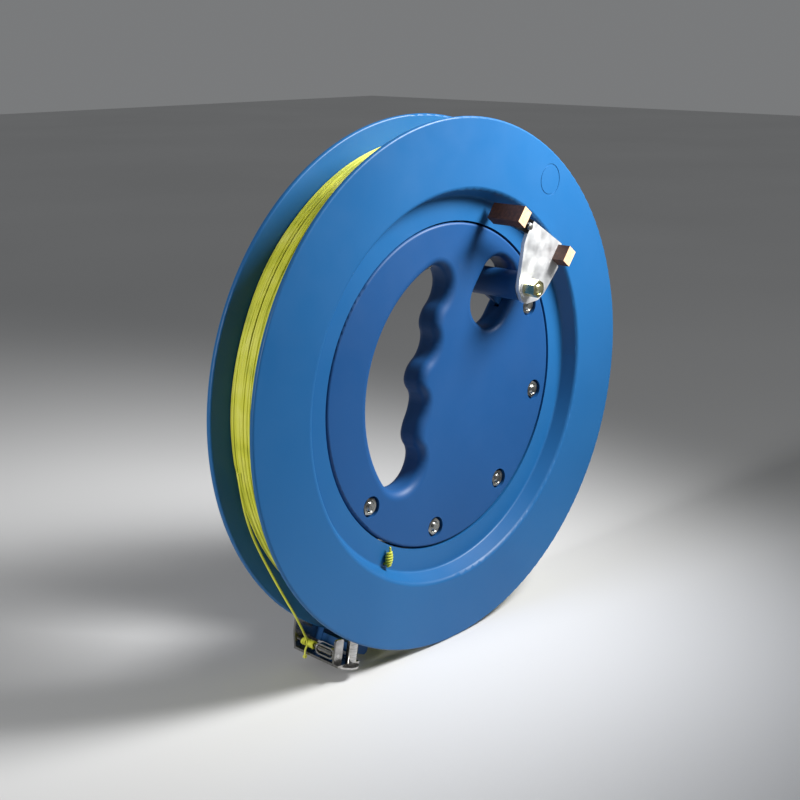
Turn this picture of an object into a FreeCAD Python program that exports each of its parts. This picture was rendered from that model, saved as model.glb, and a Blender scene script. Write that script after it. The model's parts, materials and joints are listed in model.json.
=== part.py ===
import FreeCAD, Part
import math
import os
import Sketcher

# Hand reel for kite line.  The wheel's axis is Y: its front faces -Y, +X is to the
# right seen from the front and +Z is up.  The origin is the centre of the wheel, on
# the plane where the two spool halves and the two hub shells meet.  Millimetres.

SIZES = {
    # spool
    "rim_radius": 130.0,
    "rim_half_width": 15.5,
    "flange_wall": 2.6,
    "drum_radius": 99.0,
    "drum_wall": 2.4,
    "crest_radius": 96.6,
    "dish_radius": 92.8,
    "dish_half": 7.5,
    "bore_radius": 81.3,
    "channel_radius": 82.25,
    "channel_half": 3.9,
    "bore_wall": 2.4,
    "crest_round": 2.4,
    "dish_round": 1.4,
    "edge_round": 0.9,
    "spool_boss_circle": 89.0,
    "spool_boss_radius": 3.4,
    "spool_screw_radius": 1.45,
    "spool_head_radius": 2.9,
    "spool_head_depth": 1.5,
    "ring_mark_radius": 8.0,
    "ring_mark_line": 1.0,
    "ring_mark_depth": 0.2,
    "anchor_hole_radius": 1.1,
    # line
    "line_radius": 0.6,
    "pack_edge_radius": 117.6,
    "pack_top_radius": 120.6,
    "pack_shoulder": 8.5,
    "tail_clear": 0.4,
    # hub
    "hub_radius": 80.4,
    "hub_half": 7.5,
    "hub_skin": 2.6,
    "hub_edge_round": 1.3,
    "grip_round": 4.6,
    "thumb_round": 3.0,
    "bolt_circle": 71.0,
    "bolt_radius": 2.45,
    "bolt_hole_radius": 2.55,
    "nut_recess_radius": 5.3,
    "nut_recess_depth": 3.4,
    "hex_across_flats": 8.0,
    "nut_height": 2.7,
    "head_height": 3.5,
    "bolt_tip": 0.8,
    "boss_radius": 8.6,
    "boss_gap": 0.3,
    "seat_radius": 5.4,
    "bearing_radius": 11.0,
    "bearing_half": 3.5,
    "bearing_ring_wall": 2.1,
    "bearing_inner_radius": 6.0,
    "bearing_bore_radius": 4.0,
    "shield_inset": 0.3,
    "shield_wall": 0.3,
    "window_radius": 11.5,
    "window_gap": 0.4,
    "pin_half_length": 6.0,
    # grip opening
    "grip_top_x": 2.6,
    "grip_top_z": 48.5,
    "grip_top_radius": 10.0,
    "grip_foot_x": -16.4,
    "grip_foot_z": -34.5,
    "grip_foot_radius": 14.3,
    "grip_back_radius": 66.5,
    "grip_lean": 12.4,
    # thumb opening
    "thumb_x": 35.6,
    "thumb_z": 42.0,
    "thumb_length": 36.0,
    "thumb_width": 28.0,
    "thumb_corner": 12.5,
    "thumb_lean": 52.8,
    # brake
    "bar_x": 41.0,
    "bar_z": 46.2,
    "bar_radius": 7.2,
    "lever_half": 1.2,
    "lever_slot_half": 1.6,
    "lever_pivot_radius": 7.6,
    "lever_hole_radius": 5.0,
    "lever_sweep": 1.9,
    "bush_radius": 4.95,
    "plate_back": 21.5,
    "plate_wall": 2.0,
    "pad_front": 30.7,
    "pad_foot": 11.5,
    "pad_length": 8.4,
    "pad_width": 6.0,
    "washer_radius": 5.0,
    "washer_wall": 0.8,
    "brake_nut_height": 6.5,
    "brake_tip": 1.0,
    "pad_screw_radius": 1.8,
    "pad_screw_height": 2.4,
    "spring_wire": 0.45,
    "spring_radius": 6.1,
    # line guide
    "arm_clear": 1.2,
    "arm_wall": 4.0,
    "foot_wall": 4.0,
    "lug_inner": 132.2,
    "lug_outer": 136.6,
    "lug_front": 0.8,
    "guide_x": -65.3,
    "guide_z": -122.6,
    "sheet_wall": 1.2,
    "post_radius": 2.75,
    "post_height": 13.0,
    "post_foot_radius": 5.8,
    "bar_height": 3.6,
    "guide_bar_radius": 0.9,
    "roller_radius": 1.6,
    "roller_clear": 0.05,
}

BEARING_BOLTS = (222.3, 264.1, 306.0, 348.0)   # degrees from +X towards +Z
BLIND_BEARINGS = (100.0, 160.0)
ARM_BOLTS = BEARING_BOLTS[:2]
PIVOT_ANGLE = 26.0
SPOOL_SCREWS = 6
ARM_ANGLE = 244.8
GUIDE_DOWN = 260.0            # the guide's own downward direction
UP = FreeCAD.Vector(0, 0, 1)
ALONG_Y = FreeCAD.Rotation(FreeCAD.Vector(1, 0, 0), -90)

doc = FreeCAD.newDocument("kite_reel")
sheet = doc.addObject("Spreadsheet::Sheet", "sizes")


def fill_sheet():
    for row, (alias, value) in enumerate(SIZES.items(), start=1):
        sheet.set(f"A{row}", alias)
        sheet.set(f"B{row}", str(value))
        sheet.setAlias(f"B{row}", alias)
    doc.recompute()


def size(words):
    """The value of a sum such as 'rim_radius - flange_wall', read from the sheet."""
    total, sign = 0.0, 1.0
    for word in words.split():
        if word in "+-":
            sign = 1.0 if word == "+" else -1.0
            continue
        if word.startswith("-"):
            sign, word = -sign, word[1:]
        number = float(word) if word[0].isdigit() else float(getattr(sheet, word))
        total += sign * number
        sign = 1.0
    return total


def formula(words):
    """The same sum as a FreeCAD expression on the sheet's cells."""
    out = []
    for word in words.split():
        minus = "-" if word.startswith("-") and len(word) > 1 else ""
        name = word[len(minus):]
        out.append(word if word in "+-" or name[0].isdigit() else f"{minus}sizes.{name}")
    return " ".join(out)


def polar(radius, angle):
    turn = math.radians(angle)
    return radius * math.cos(turn), radius * math.sin(turn)


def unit(angle):
    return polar(1.0, angle)


def on_side(words, side):
    """A sum of aliases behind the middle plane, or its negative in front of it."""
    if side > 0:
        return words
    swapped = {"+": "-", "-": "+"}
    return "-" + " ".join(swapped.get(word, word) for word in words.split())


# ---------------------------------------------------------------- sketches and features

def new_body(name):
    body = doc.addObject("PartDesign::Body", name)
    body.Label = name
    return body


def origin_item(body, role):
    return [item for item in body.Origin.OriginFeatures if item.Role == role][0]


def sketch_on(body, name, plane, depth=None):
    """A sketch on one of the body's planes; depth moves an XZ sketch to that Y."""
    sketch = body.newObject("Sketcher::SketchObject", name)
    sketch.AttachmentSupport = [(origin_item(body, plane), "")]
    sketch.MapMode = "FlatFace"
    if depth is not None:
        sketch.setExpression("AttachmentOffset.Base.z", f"-({formula(depth)})")
    doc.recompute()
    return sketch


def place_point(sketch, geometry, x_words, z_words):
    """Hold the first point of a line at two distances that follow the sheet."""
    for kind, words, axis in (("DistanceX", x_words, -2), ("DistanceY", z_words, -1)):
        if abs(size(words)) < 1e-9:
            sketch.addConstraint(constraint("PointOnObject", geometry, 1, axis))
            continue
        index = sketch.addConstraint(constraint(kind, -1, 1, geometry, 1, size(words)))
        sketch.setExpression(f"Constraints[{index}]", formula(words))


def constraint(*words):
    return Sketcher.Constraint(*words)


def add_polygon(sketch, points):
    """A closed outline of straight sides through points given as sums of aliases."""
    spots = [FreeCAD.Vector(size(a), size(b), 0) for a, b in points]
    first = sketch.GeometryCount
    for start, end in zip(spots, spots[1:] + spots[:1]):
        sketch.addGeometry(Part.LineSegment(start, end), False)
    count = len(spots)
    for step in range(count):
        following = first + (step + 1) % count
        sketch.addConstraint(constraint("Coincident", first + step, 2, following, 1))
    for step, (a, b) in enumerate(points):
        place_point(sketch, first + step, a, b)


def add_circle(sketch, centre, radius_words):
    spot = FreeCAD.Vector(centre[0], centre[1], 0)
    index = sketch.addGeometry(Part.Circle(spot, UP, size(radius_words)), False)
    row = sketch.addConstraint(constraint("Radius", index, size(radius_words)))
    sketch.setExpression(f"Constraints[{row}]", formula(radius_words))
    sketch.addConstraint(constraint("Block", index))


def add_edges(sketch, edges):
    """Computed arcs and lines, fixed where their formula puts them."""
    for edge in edges:
        sketch.addGeometry(edge, False)


def pad(body, sketch, length, toward):
    """Add material from the sketch towards the front (-1) or the back (+1)."""
    feature = body.newObject("PartDesign::Pad", sketch.Name + "_pad")
    feature.Profile = sketch
    feature.setExpression("Length", formula(length))
    feature.Reversed = toward > 0
    doc.recompute()
    return feature


def pocket(body, sketch, depth, toward):
    """Cut from the sketch towards the front (-1) or the back (+1), and prove it cut."""
    before = body.Shape.Volume
    feature = body.newObject("PartDesign::Pocket", sketch.Name + "_cut")
    feature.Profile = sketch
    feature.setExpression("Length", formula(depth))
    feature.Reversed = toward < 0
    doc.recompute()
    if not feature.Shape.Volume < before - 1e-3:
        raise RuntimeError(f"{feature.Name} cuts nothing")
    return feature


def revolve(body, sketch):
    feature = body.newObject("PartDesign::Revolution", sketch.Name + "_turned")
    feature.Profile = sketch
    feature.ReferenceAxis = (origin_item(body, "Y_Axis"), [""])
    feature.Angle = 360
    doc.recompute()
    return feature


def round_edges(body, base, wanted, radius):
    names = [f"Edge{n}" for n, edge in enumerate(base.Shape.Edges, start=1) if wanted(edge)]
    if not names:
        raise RuntimeError(f"no edge to round on {body.Label}")
    feature = body.newObject("PartDesign::Fillet", base.Name + "_round")
    feature.Base = (base, names)
    feature.setExpression("Radius", formula(radius))
    doc.recompute()
    return feature


def at_depth(edge, depth):
    box = edge.BoundBox
    return abs(box.YMin - depth) < 1e-4 and abs(box.YMax - depth) < 1e-4


def is_ring(edge, radius, depth):
    """True for a circle about the wheel's axis."""
    if not at_depth(edge, depth) or not isinstance(edge.Curve, Part.Circle):
        return False
    middle = edge.Curve.Center
    return abs(edge.Curve.Radius - radius) < 1e-4 and math.hypot(middle.x, middle.z) < 1e-4


# ---------------------------------------------------------------- simple solids

def rod(name, radius, start, end, spot):
    """A cylinder along Y between two depths, centred on spot = (x, z)."""
    solid = doc.addObject("Part::Cylinder", name)
    solid.setExpression("Radius", formula(radius))
    solid.setExpression("Height", f"({formula(end)}) - ({formula(start)})")
    solid.Placement = FreeCAD.Placement(FreeCAD.Vector(spot[0], 0, spot[1]), ALONG_Y)
    solid.setExpression("Placement.Base.y", formula(start))
    return solid


def hexagon(name, start, end, spot):
    """A hexagonal prism along Y, sized across its flats."""
    solid = doc.addObject("Part::Prism", name)
    solid.Polygon = 6
    solid.setExpression("Circumradius", "sizes.hex_across_flats / sqrt(3)")
    solid.setExpression("Height", f"({formula(end)}) - ({formula(start)})")
    solid.Placement = FreeCAD.Placement(FreeCAD.Vector(spot[0], 0, spot[1]), ALONG_Y)
    solid.setExpression("Placement.Base.y", formula(start))
    return solid


def fuse(name, solids):
    joined = doc.addObject("Part::MultiFuse", name)
    joined.Label = name
    joined.Shapes = solids
    return joined


def cut(name, base, tool):
    result = doc.addObject("Part::Cut", name)
    result.Label = name
    result.Base = base
    result.Tool = tool
    return result


def group(name, solids):
    """Identical pieces that share one node but stay separate solids."""
    together = doc.addObject("Part::Compound", name)
    together.Label = name
    together.Links = solids
    return together


def feature(name, shape):
    item = doc.addObject("Part::Feature", name)
    item.Label = name
    item.Shape = shape
    item.Placement = FreeCAD.Placement()
    return item


# ---------------------------------------------------------------- outlines

def arc(centre, radius, start, end):
    """An arc in a sketch, counter-clockwise from start to end, in radians."""
    circle = Part.Circle(FreeCAD.Vector(centre[0], centre[1], 0), UP, radius)
    return Part.ArcOfCircle(circle, start, end)


def toward(a, b):
    return math.atan2(b[1] - a[1], b[0] - a[0])


def wave(start, end, lean, offset):
    """Two equal arcs that leave start and reach end along the same leaning line.

    start is above end.  The opening lies on the left of the line, and offset moves
    the outline into the material on its right.
    """
    down = (-lean[0], -lean[1])
    out = (lean[1], -lean[0])
    chord = (end[0] - start[0], end[1] - start[1])
    along = chord[0] * down[0] + chord[1] * down[1]
    across = chord[0] * out[0] + chord[1] * out[1]
    radius = (along ** 2 + across ** 2) / (4 * abs(across))
    side = math.copysign(1.0, across)
    middle = ((start[0] + end[0]) / 2, (start[1] + end[1]) / 2)
    arcs = []
    for spot, sign in ((start, side), (end, -side)):
        centre = (spot[0] + sign * radius * out[0], spot[1] + sign * radius * out[1])
        ends = sorted((toward(centre, spot), toward(centre, middle)))
        if ends[1] - ends[0] > math.pi:
            ends = [ends[1], ends[0] + 2 * math.pi]
        arcs.append(arc(centre, radius - sign * offset, *ends))
    return arcs


def grip_outline(offset=0.0):
    """The opening for four fingers: a back arc, two round ends and the finger waves."""
    leaning = math.radians(size("grip_lean"))
    lean = (math.sin(leaning), math.cos(leaning))
    out = (lean[1], -lean[0])
    top = (size("grip_top_x"), size("grip_top_z"))
    foot = (size("grip_foot_x"), size("grip_foot_z"))
    top_radius, foot_radius = size("grip_top_radius"), size("grip_foot_radius")
    back_radius = size("grip_back_radius")
    top_centre = (top[0] - top_radius * out[0], top[1] - top_radius * out[1])
    foot_centre = (foot[0] - foot_radius * out[0], foot[1] - foot_radius * out[1])
    # The back arc touches both end arcs from outside, so its centre lies at the
    # difference of the radii from each of theirs.
    gap = math.dist(top_centre, foot_centre)
    near, far = back_radius - top_radius, back_radius - foot_radius
    share = (near ** 2 - far ** 2 + gap ** 2) / (2 * gap)
    rise = math.sqrt(near ** 2 - share ** 2)
    run = ((foot_centre[0] - top_centre[0]) / gap, (foot_centre[1] - top_centre[1]) / gap)
    back_centre = (
        top_centre[0] + share * run[0] - rise * run[1],
        top_centre[1] + share * run[1] + rise * run[0],
    )
    turn = 2 * math.pi
    top_angle = toward(back_centre, top_centre) % turn
    foot_angle = toward(back_centre, foot_centre) % turn
    start_angle = toward(top_centre, top) % turn
    end_angle = toward(foot_centre, foot) % turn
    edges = [
        arc(top_centre, top_radius + offset, start_angle - turn, top_angle),
        arc(back_centre, back_radius + offset, top_angle, foot_angle),
        arc(foot_centre, foot_radius + offset, foot_angle, end_angle),
    ]
    crests = [top, (-6.8, 33.0), (-6.0, 23.0), (-17.4, 6.5), (-14.0, -6.5), (-19.6, -20.5), foot]
    for upper, lower in zip(crests, crests[1:]):
        edges += wave(upper, lower, lean, offset)
    return edges


def rounded_slot(centre, length, width, corner, angle, offset=0.0):
    """A rectangle with round corners whose length lies at angle to +X."""
    along, across = unit(angle), unit(angle + 90)
    half_length, half_width = length / 2 - corner, width / 2 - corner
    radius = corner + offset
    edges = []
    corners = ((1, 1, 0), (-1, 1, 90), (-1, -1, 180), (1, -1, 270))
    centres = []
    for a, b, _ in corners:
        centres.append((
            centre[0] + a * half_length * along[0] + b * half_width * across[0],
            centre[1] + a * half_length * along[1] + b * half_width * across[1],
        ))
    for (spot, (_, _, quarter)), next_spot in zip(zip(centres, corners), centres[1:] + centres[:1]):
        start = math.radians(angle + quarter)
        edges.append(arc(spot, radius, start, start + math.pi / 2))
        side = unit(angle + quarter + 90)
        edges.append(Part.LineSegment(
            FreeCAD.Vector(spot[0] + radius * side[0], spot[1] + radius * side[1], 0),
            FreeCAD.Vector(next_spot[0] + radius * side[0], next_spot[1] + radius * side[1], 0),
        ))
    return edges


def thumb_outline(offset=0.0):
    return rounded_slot(
        (size("thumb_x"), size("thumb_z")), size("thumb_length"), size("thumb_width"),
        size("thumb_corner"), size("thumb_lean"), offset,
    )


def belt(first, first_radius, second, second_radius):
    """The outline of two circles joined by their outer tangents."""
    gap = math.dist(first, second)
    heading = toward(first, second)
    tilt = math.acos((first_radius - second_radius) / gap)
    turn = 2 * math.pi
    edges = [
        arc(first, first_radius, heading + tilt, heading - tilt + turn),
        arc(second, second_radius, heading - tilt, heading + tilt),
    ]
    for sign in (1, -1):
        side = (math.cos(heading + sign * tilt), math.sin(heading + sign * tilt))
        edges.append(Part.LineSegment(
            FreeCAD.Vector(first[0] + first_radius * side[0], first[1] + first_radius * side[1], 0),
            FreeCAD.Vector(second[0] + second_radius * side[0], second[1] + second_radius * side[1], 0),
        ))
    return edges


# ---------------------------------------------------------------- hub

def pivot_spot():
    return polar(size("bolt_circle"), PIVOT_ANGLE)


def bar_spot():
    return size("bar_x"), size("bar_z")


def hub_shell(name, side):
    """One half of the hand grip: a hollow disc with walls round its two openings."""
    body = new_body(name)
    disc = sketch_on(body, name + "_disc", "XZ_Plane")
    add_circle(disc, (0, 0), "hub_radius")
    solid = pad(body, disc, "hub_half", side)
    face = side * size("hub_half")
    round_edges(body, solid, lambda e: is_ring(e, size("hub_radius"), face), "hub_edge_round")

    for label, outline, radius in (
        ("grip", grip_outline, "grip_round"),
        ("thumb", thumb_outline, "thumb_round"),
    ):
        opening = sketch_on(body, f"{name}_{label}", "XZ_Plane")
        add_edges(opening, outline())
        made = pocket(body, opening, "hub_half", side)
        inside = size("hub_radius") - 2 * size("hub_edge_round")
        spots = outline_box(outline())
        wanted = [
            e for e in made.Shape.Edges
            if at_depth(e, face) and in_box(e, spots) and edge_reach(e) < inside
        ]
        round_edges(body, made, lambda e: any(e.isSame(w) for w in wanted), radius)

    hollow = sketch_on(body, name + "_hollow", "XZ_Plane")
    add_circle(hollow, (0, 0), "hub_radius - hub_skin")
    add_edges(hollow, grip_outline(size("hub_skin")))
    add_edges(hollow, thumb_outline(size("hub_skin")))
    pocket(body, hollow, "hub_half - hub_skin", side)
    window = sketch_on(body, name + "_windows", "XZ_Plane")
    for angle in BEARING_BOLTS + BLIND_BEARINGS:
        add_circle(window, polar(size("bolt_circle"), angle), "window_radius")
    pocket(body, window, "bearing_half + window_gap", side)

    hub_bosses(body, name, side)
    slot = sketch_on(body, name + "_lever_slot", "XZ_Plane")
    sweep = size("lever_sweep")
    add_edges(slot, belt(
        pivot_spot(), size("lever_pivot_radius") + sweep / 2,
        bar_spot(), size("bar_radius") + sweep,
    ))
    pocket(body, slot, "lever_slot_half", side)
    return body


def outline_box(edges):
    shapes = Part.Compound([edge.toShape() for edge in edges])
    return shapes.BoundBox


def in_box(edge, flat_box):
    """True if an edge of a solid lies in the box of a sketch's outline."""
    box = edge.BoundBox
    slack = 0.01
    return (
        box.XMin > flat_box.XMin - slack and box.XMax < flat_box.XMax + slack
        and box.ZMin > flat_box.YMin - slack and box.ZMax < flat_box.YMax + slack
    )


def edge_reach(edge):
    return max(math.hypot(v.X, v.Z) for v in edge.Vertexes)


def hub_bosses(body, name, side):
    """Bosses that carry the bearings, the bolts and the brake's pivot."""
    floor = "hub_half - hub_skin"
    start = on_side(floor, side)
    bearings = [polar(size("bolt_circle"), angle) for angle in BEARING_BOLTS + BLIND_BEARINGS]
    for label, radius, height in (
        ("boss", "boss_radius", "hub_half - hub_skin - bearing_half - boss_gap"),
        ("seat", "seat_radius", "hub_half - hub_skin - bearing_half"),
    ):
        sketch = sketch_on(body, f"{name}_{label}", "XZ_Plane", start)
        for spot in bearings:
            add_circle(sketch, spot, radius)
        pad(body, sketch, height, -side)
    pivot = sketch_on(body, name + "_pivot_boss", "XZ_Plane", start)
    add_circle(pivot, pivot_spot(), "seat_radius" if side > 0 else "boss_radius")
    pad(body, pivot, f"{floor} - lever_slot_half", -side)

    holes = sketch_on(body, name + "_bolt_holes", "XZ_Plane")
    for angle in BEARING_BOLTS + (PIVOT_ANGLE,):
        add_circle(holes, polar(size("bolt_circle"), angle), "bolt_hole_radius")
    pocket(body, holes, "hub_half + 1", side)
    blind = sketch_on(body, name + "_pin_holes", "XZ_Plane")
    for angle in BLIND_BEARINGS:
        add_circle(blind, polar(size("bolt_circle"), angle), "bolt_radius")
    pocket(body, blind, "pin_half_length", side)
    recessed = BEARING_BOLTS[2:] if side > 0 else BEARING_BOLTS + (PIVOT_ANGLE,)
    recess = sketch_on(body, name + "_recesses", "XZ_Plane", on_side("hub_half", side))
    for angle in recessed:
        add_circle(recess, polar(size("bolt_circle"), angle), "nut_recess_radius")
    pocket(body, recess, "nut_recess_depth", -side)


def hub_fasteners():
    """Bolts from the back with hexagon nuts on the front, and two plain pins."""
    long_bolts, short_bolts, nuts, pins = [], [], [], []
    tip = "-hub_half + nut_recess_depth - nut_height - bolt_tip"
    for number, angle in enumerate(BEARING_BOLTS + (PIVOT_ANGLE,), start=1):
        spot = polar(size("bolt_circle"), angle)
        on_arm = angle in ARM_BOLTS
        head = "hub_half - nut_recess_depth"
        if on_arm:
            head = "hub_half + foot_wall"
        elif angle == PIVOT_ANGLE:
            head = "hub_half"
        bolt = fuse(f"hub_bolt_{number}", [
            rod(f"hub_shank_{number}", "bolt_radius", tip, head, spot),
            hexagon(f"hub_head_{number}", head, f"{head} + head_height", spot),
        ])
        (long_bolts if on_arm else short_bolts).append(bolt)
        seat = "-hub_half + nut_recess_depth"
        nuts.append(cut(
            f"hub_nut_{number}",
            hexagon(f"hub_nut_blank_{number}", f"{seat} - nut_height", seat, spot),
            rod(f"hub_nut_bore_{number}", "bolt_radius", f"{seat} - nut_height", seat, spot),
        ))
    for number, angle in enumerate(BLIND_BEARINGS, start=1):
        spot = polar(size("bolt_circle"), angle)
        pins.append(rod(f"axle_pin_{number}", "bolt_radius", "-pin_half_length", "pin_half_length", spot))
    return [
        group("arm_bolts", long_bolts),
        group("hub_bolts", short_bolts),
        group("hub_nuts", nuts),
        group("axle_pins", pins),
    ]


def bearings():
    """Sealed ball bearings: a turning outer ring with shields, and a fixed inner ring."""
    outer, inner, bushings = [], [], []
    for number, angle in enumerate(BEARING_BOLTS + BLIND_BEARINGS, start=1):
        spot = polar(size("bolt_circle"), angle)
        name = f"bearing_outer_{number}"
        body = new_body(name)
        body.Placement = FreeCAD.Placement(FreeCAD.Vector(spot[0], 0, spot[1]), FreeCAD.Rotation())
        profile = sketch_on(body, name + "_profile", "XY_Plane")
        shield = "bearing_inner_radius + 0.3"
        ring = "bearing_radius - bearing_ring_wall"
        low, high = "bearing_half - shield_inset - shield_wall", "bearing_half - shield_inset"
        add_polygon(profile, [
            ("bearing_radius", "-bearing_half"), ("bearing_radius", "bearing_half"),
            (ring, "bearing_half"), (ring, high), (shield, high), (shield, low), (ring, low),
            (ring, "-bearing_half + shield_inset + shield_wall"),
            (shield, "-bearing_half + shield_inset + shield_wall"),
            (shield, "-bearing_half + shield_inset"), (ring, "-bearing_half + shield_inset"),
            (ring, "-bearing_half"),
        ])
        revolve(body, profile)
        outer.append(body)
        inner.append(cut(
            f"inner_ring_{number}",
            rod(f"inner_blank_{number}", "bearing_inner_radius", "-bearing_half", "bearing_half", spot),
            rod(f"inner_bore_{number}", "bearing_bore_radius", "-bearing_half", "bearing_half", spot),
        ))
        bushings.append(cut(
            f"bushing_{number}",
            rod(f"bushing_blank_{number}", "bearing_bore_radius", "-bearing_half", "bearing_half", spot),
            rod(f"bushing_bore_{number}", "bolt_radius", "-bearing_half", "bearing_half", spot),
        ))
    return outer + [group("bearing_inner_rings", inner), group("bearing_bushings", bushings)]


# ---------------------------------------------------------------- spool

def screw_spots():
    step = 360 / SPOOL_SCREWS
    return [polar(size("spool_boss_circle"), step * turn + step / 2) for turn in range(SPOOL_SCREWS)]


def spool_half(name, side):
    """One half of the wheel: flange, drum, dished face and bore in one moulding."""
    body = new_body(name)

    profile = sketch_on(body, name + "_profile", "XY_Plane")
    inner_flange = "rim_half_width - flange_wall"
    inner_dish = "dish_half - bore_wall"
    add_polygon(profile, [
        ("drum_radius", "0"),
        ("drum_radius", on_side(inner_flange, side)),
        ("rim_radius", on_side(inner_flange, side)),
        ("rim_radius", on_side("rim_half_width", side)),
        ("crest_radius", on_side("rim_half_width", side)),
        ("dish_radius", on_side("dish_half", side)),
        ("bore_radius", on_side("dish_half", side)),
        ("bore_radius", on_side("channel_half", side)),
        ("channel_radius", on_side("channel_half", side)),
        ("channel_radius", "0"),
        ("channel_radius + bore_wall", "0"),
        ("channel_radius + bore_wall", on_side(inner_dish, side)),
        ("drum_radius - drum_wall", on_side(inner_dish, side)),
        ("drum_radius - drum_wall", "0"),
    ])
    turned = revolve(body, profile)
    outer_face, dish_face = side * size("rim_half_width"), side * size("dish_half")
    crest = round_edges(body, turned, lambda e: is_ring(e, size("crest_radius"), outer_face), "crest_round")
    dish = round_edges(body, crest, lambda e: is_ring(e, size("dish_radius"), dish_face), "dish_round")
    rims = (outer_face, side * size(inner_flange))
    round_edges(
        body, dish,
        lambda e: any(is_ring(e, size("rim_radius"), rim) for rim in rims), "edge_round",
    )
    start = on_side(inner_dish, side)
    boss = sketch_on(body, name + "_bosses", "XZ_Plane", start)
    for spot in screw_spots():
        add_circle(boss, spot, "spool_boss_radius")
    pad(body, boss, inner_dish, -side)
    holes = sketch_on(body, name + "_holes", "XZ_Plane")
    for spot in screw_spots():
        add_circle(holes, spot, "spool_screw_radius")
    pocket(body, holes, "dish_half + 1" if side > 0 else inner_dish, side)
    if side > 0:
        heads = sketch_on(body, name + "_heads", "XZ_Plane", "dish_half")
        for spot in screw_spots():
            add_circle(heads, spot, "spool_head_radius")
        pocket(body, heads, "spool_head_depth", -side)
    else:
        front_marks(body, name)
    return body


def front_marks(body, name):
    """The moulded ring on the front face and the hole where the line is tied."""
    ring = sketch_on(body, name + "_ring", "XZ_Plane", "-rim_half_width")
    middle = polar(size("rim_radius") - 12.8, 54.9)
    add_circle(ring, middle, "ring_mark_radius")
    add_circle(ring, middle, "ring_mark_radius - ring_mark_line")
    pocket(body, ring, "ring_mark_depth", 1)
    hole = sketch_on(body, name + "_line_hole", "XZ_Plane", "-dish_half")
    add_circle(hole, polar(*KNOT_HOLE), "anchor_hole_radius")
    pocket(body, hole, "bore_wall + 1", 1)


KNOT_HOLE = (90.4, 240.9)     # radius and angle of the hole for the line's inner end
KNOT_STUB, KNOT_TOP, KNOT_FOOT = (-42.1, -70.4), (-42.3, -74.2), (-43.2, -79.4)
KNOT_RADIUS, KNOT_STEM = 1.8, 3.0


def spool_screws():
    screws = []
    for number, spot in enumerate(screw_spots(), start=1):
        under = "dish_half - spool_head_depth"
        screws.append(fuse(f"spool_screw_{number}", [
            rod(f"spool_thread_{number}", "spool_screw_radius", "-4", under, spot),
            rod(f"spool_head_{number}", "spool_head_radius - 0.2", under, f"{under} + 1.3", spot),
        ]))
    return group("spool_screws", screws)


def line_pack():
    """The wound line: a crowned ring that fills the groove."""
    body = new_body("line_pack")
    profile = sketch_on(body, "line_pack_profile", "XY_Plane")
    edge = "rim_half_width - flange_wall"
    add_polygon(profile, [
        ("drum_radius", "-rim_half_width + flange_wall"),
        ("pack_edge_radius", "-rim_half_width + flange_wall"),
        ("pack_top_radius", "-pack_shoulder"),
        ("pack_top_radius", "pack_shoulder"),
        ("pack_edge_radius", edge),
        ("drum_radius", edge),
    ])
    revolve(body, profile)
    return body


def line_anchor_knot():
    """The knot that holds the line's inner end, lying on the dished face."""
    depth = -size("dish_half") - KNOT_RADIUS - 0.05
    stub, top, foot, hole = (
        FreeCAD.Vector(spot[0], depth, spot[1])
        for spot in (KNOT_STUB, KNOT_TOP, KNOT_FOOT, polar(*KNOT_HOLE))
    )
    line = size("line_radius")
    shape = Part.makeCylinder(KNOT_RADIUS, (foot - top).Length, top, foot - top)
    shape = shape.fuse([
        Part.makeSphere(KNOT_RADIUS, top),
        Part.makeSphere(KNOT_RADIUS, foot),
        Part.makeCylinder(line, (stub - top).Length, top, stub - top),
        Part.makeCylinder(line, (hole - foot).Length, foot, hole - foot),
        Part.makeSphere(line, hole),
        Part.makeCylinder(line, KNOT_STEM, hole, FreeCAD.Vector(0, 1, 0)),
    ])
    return feature("line_anchor_knot", shape)


# ---------------------------------------------------------------- brake

def pad_axes():
    return unit(53.0), unit(-37.0)


PAD_SPOTS = {"upper": (28.7, 82.6), "lower": (65.3, 59.3)}
PLATE_LEFT = ((34.0, 46.1), (35.5, 53.6), (37.2, 62.3), (38.0, 68.0), (40.3, 72.6))
PLATE_TOP = ((45.1, 78.3), (68.3, 64.5))
PLATE_FOOT = ((66.3, 53.2), (54.9, 41.3), (50.0, 38.4), (38.2, 37.6))
PLATE_ROUNDS = {0: 6.0, 5: 0.8, 11: 1.0, 13: 5.0, 14: 6.0}
TONGUE_END = ((48.3, 74.4), (44.7, 70.1))
TONGUE_WALL = 1.2
PAD_SCREW = (40.1, 76.3)


def pad_corner(place, along_side, across_side):
    """A corner of a brake block's section, or a point on its side for smaller shares."""
    spot, (along, across) = PAD_SPOTS[place], pad_axes()
    a, b = along_side * size("pad_length") / 2, across_side * size("pad_width") / 2
    return spot[0] + a * along[0] + b * across[0], spot[1] + a * along[1] + b * across[1]


def plate_outline():
    """The plate's outline, notched round the lower block."""
    notch = [pad_corner("lower", a, b) for a, b in ((1, -0.2), (1, -1), (-1, -1), (-1, 0.7))]
    return [*PLATE_LEFT, *PLATE_TOP, *notch, *PLATE_FOOT]


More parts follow.
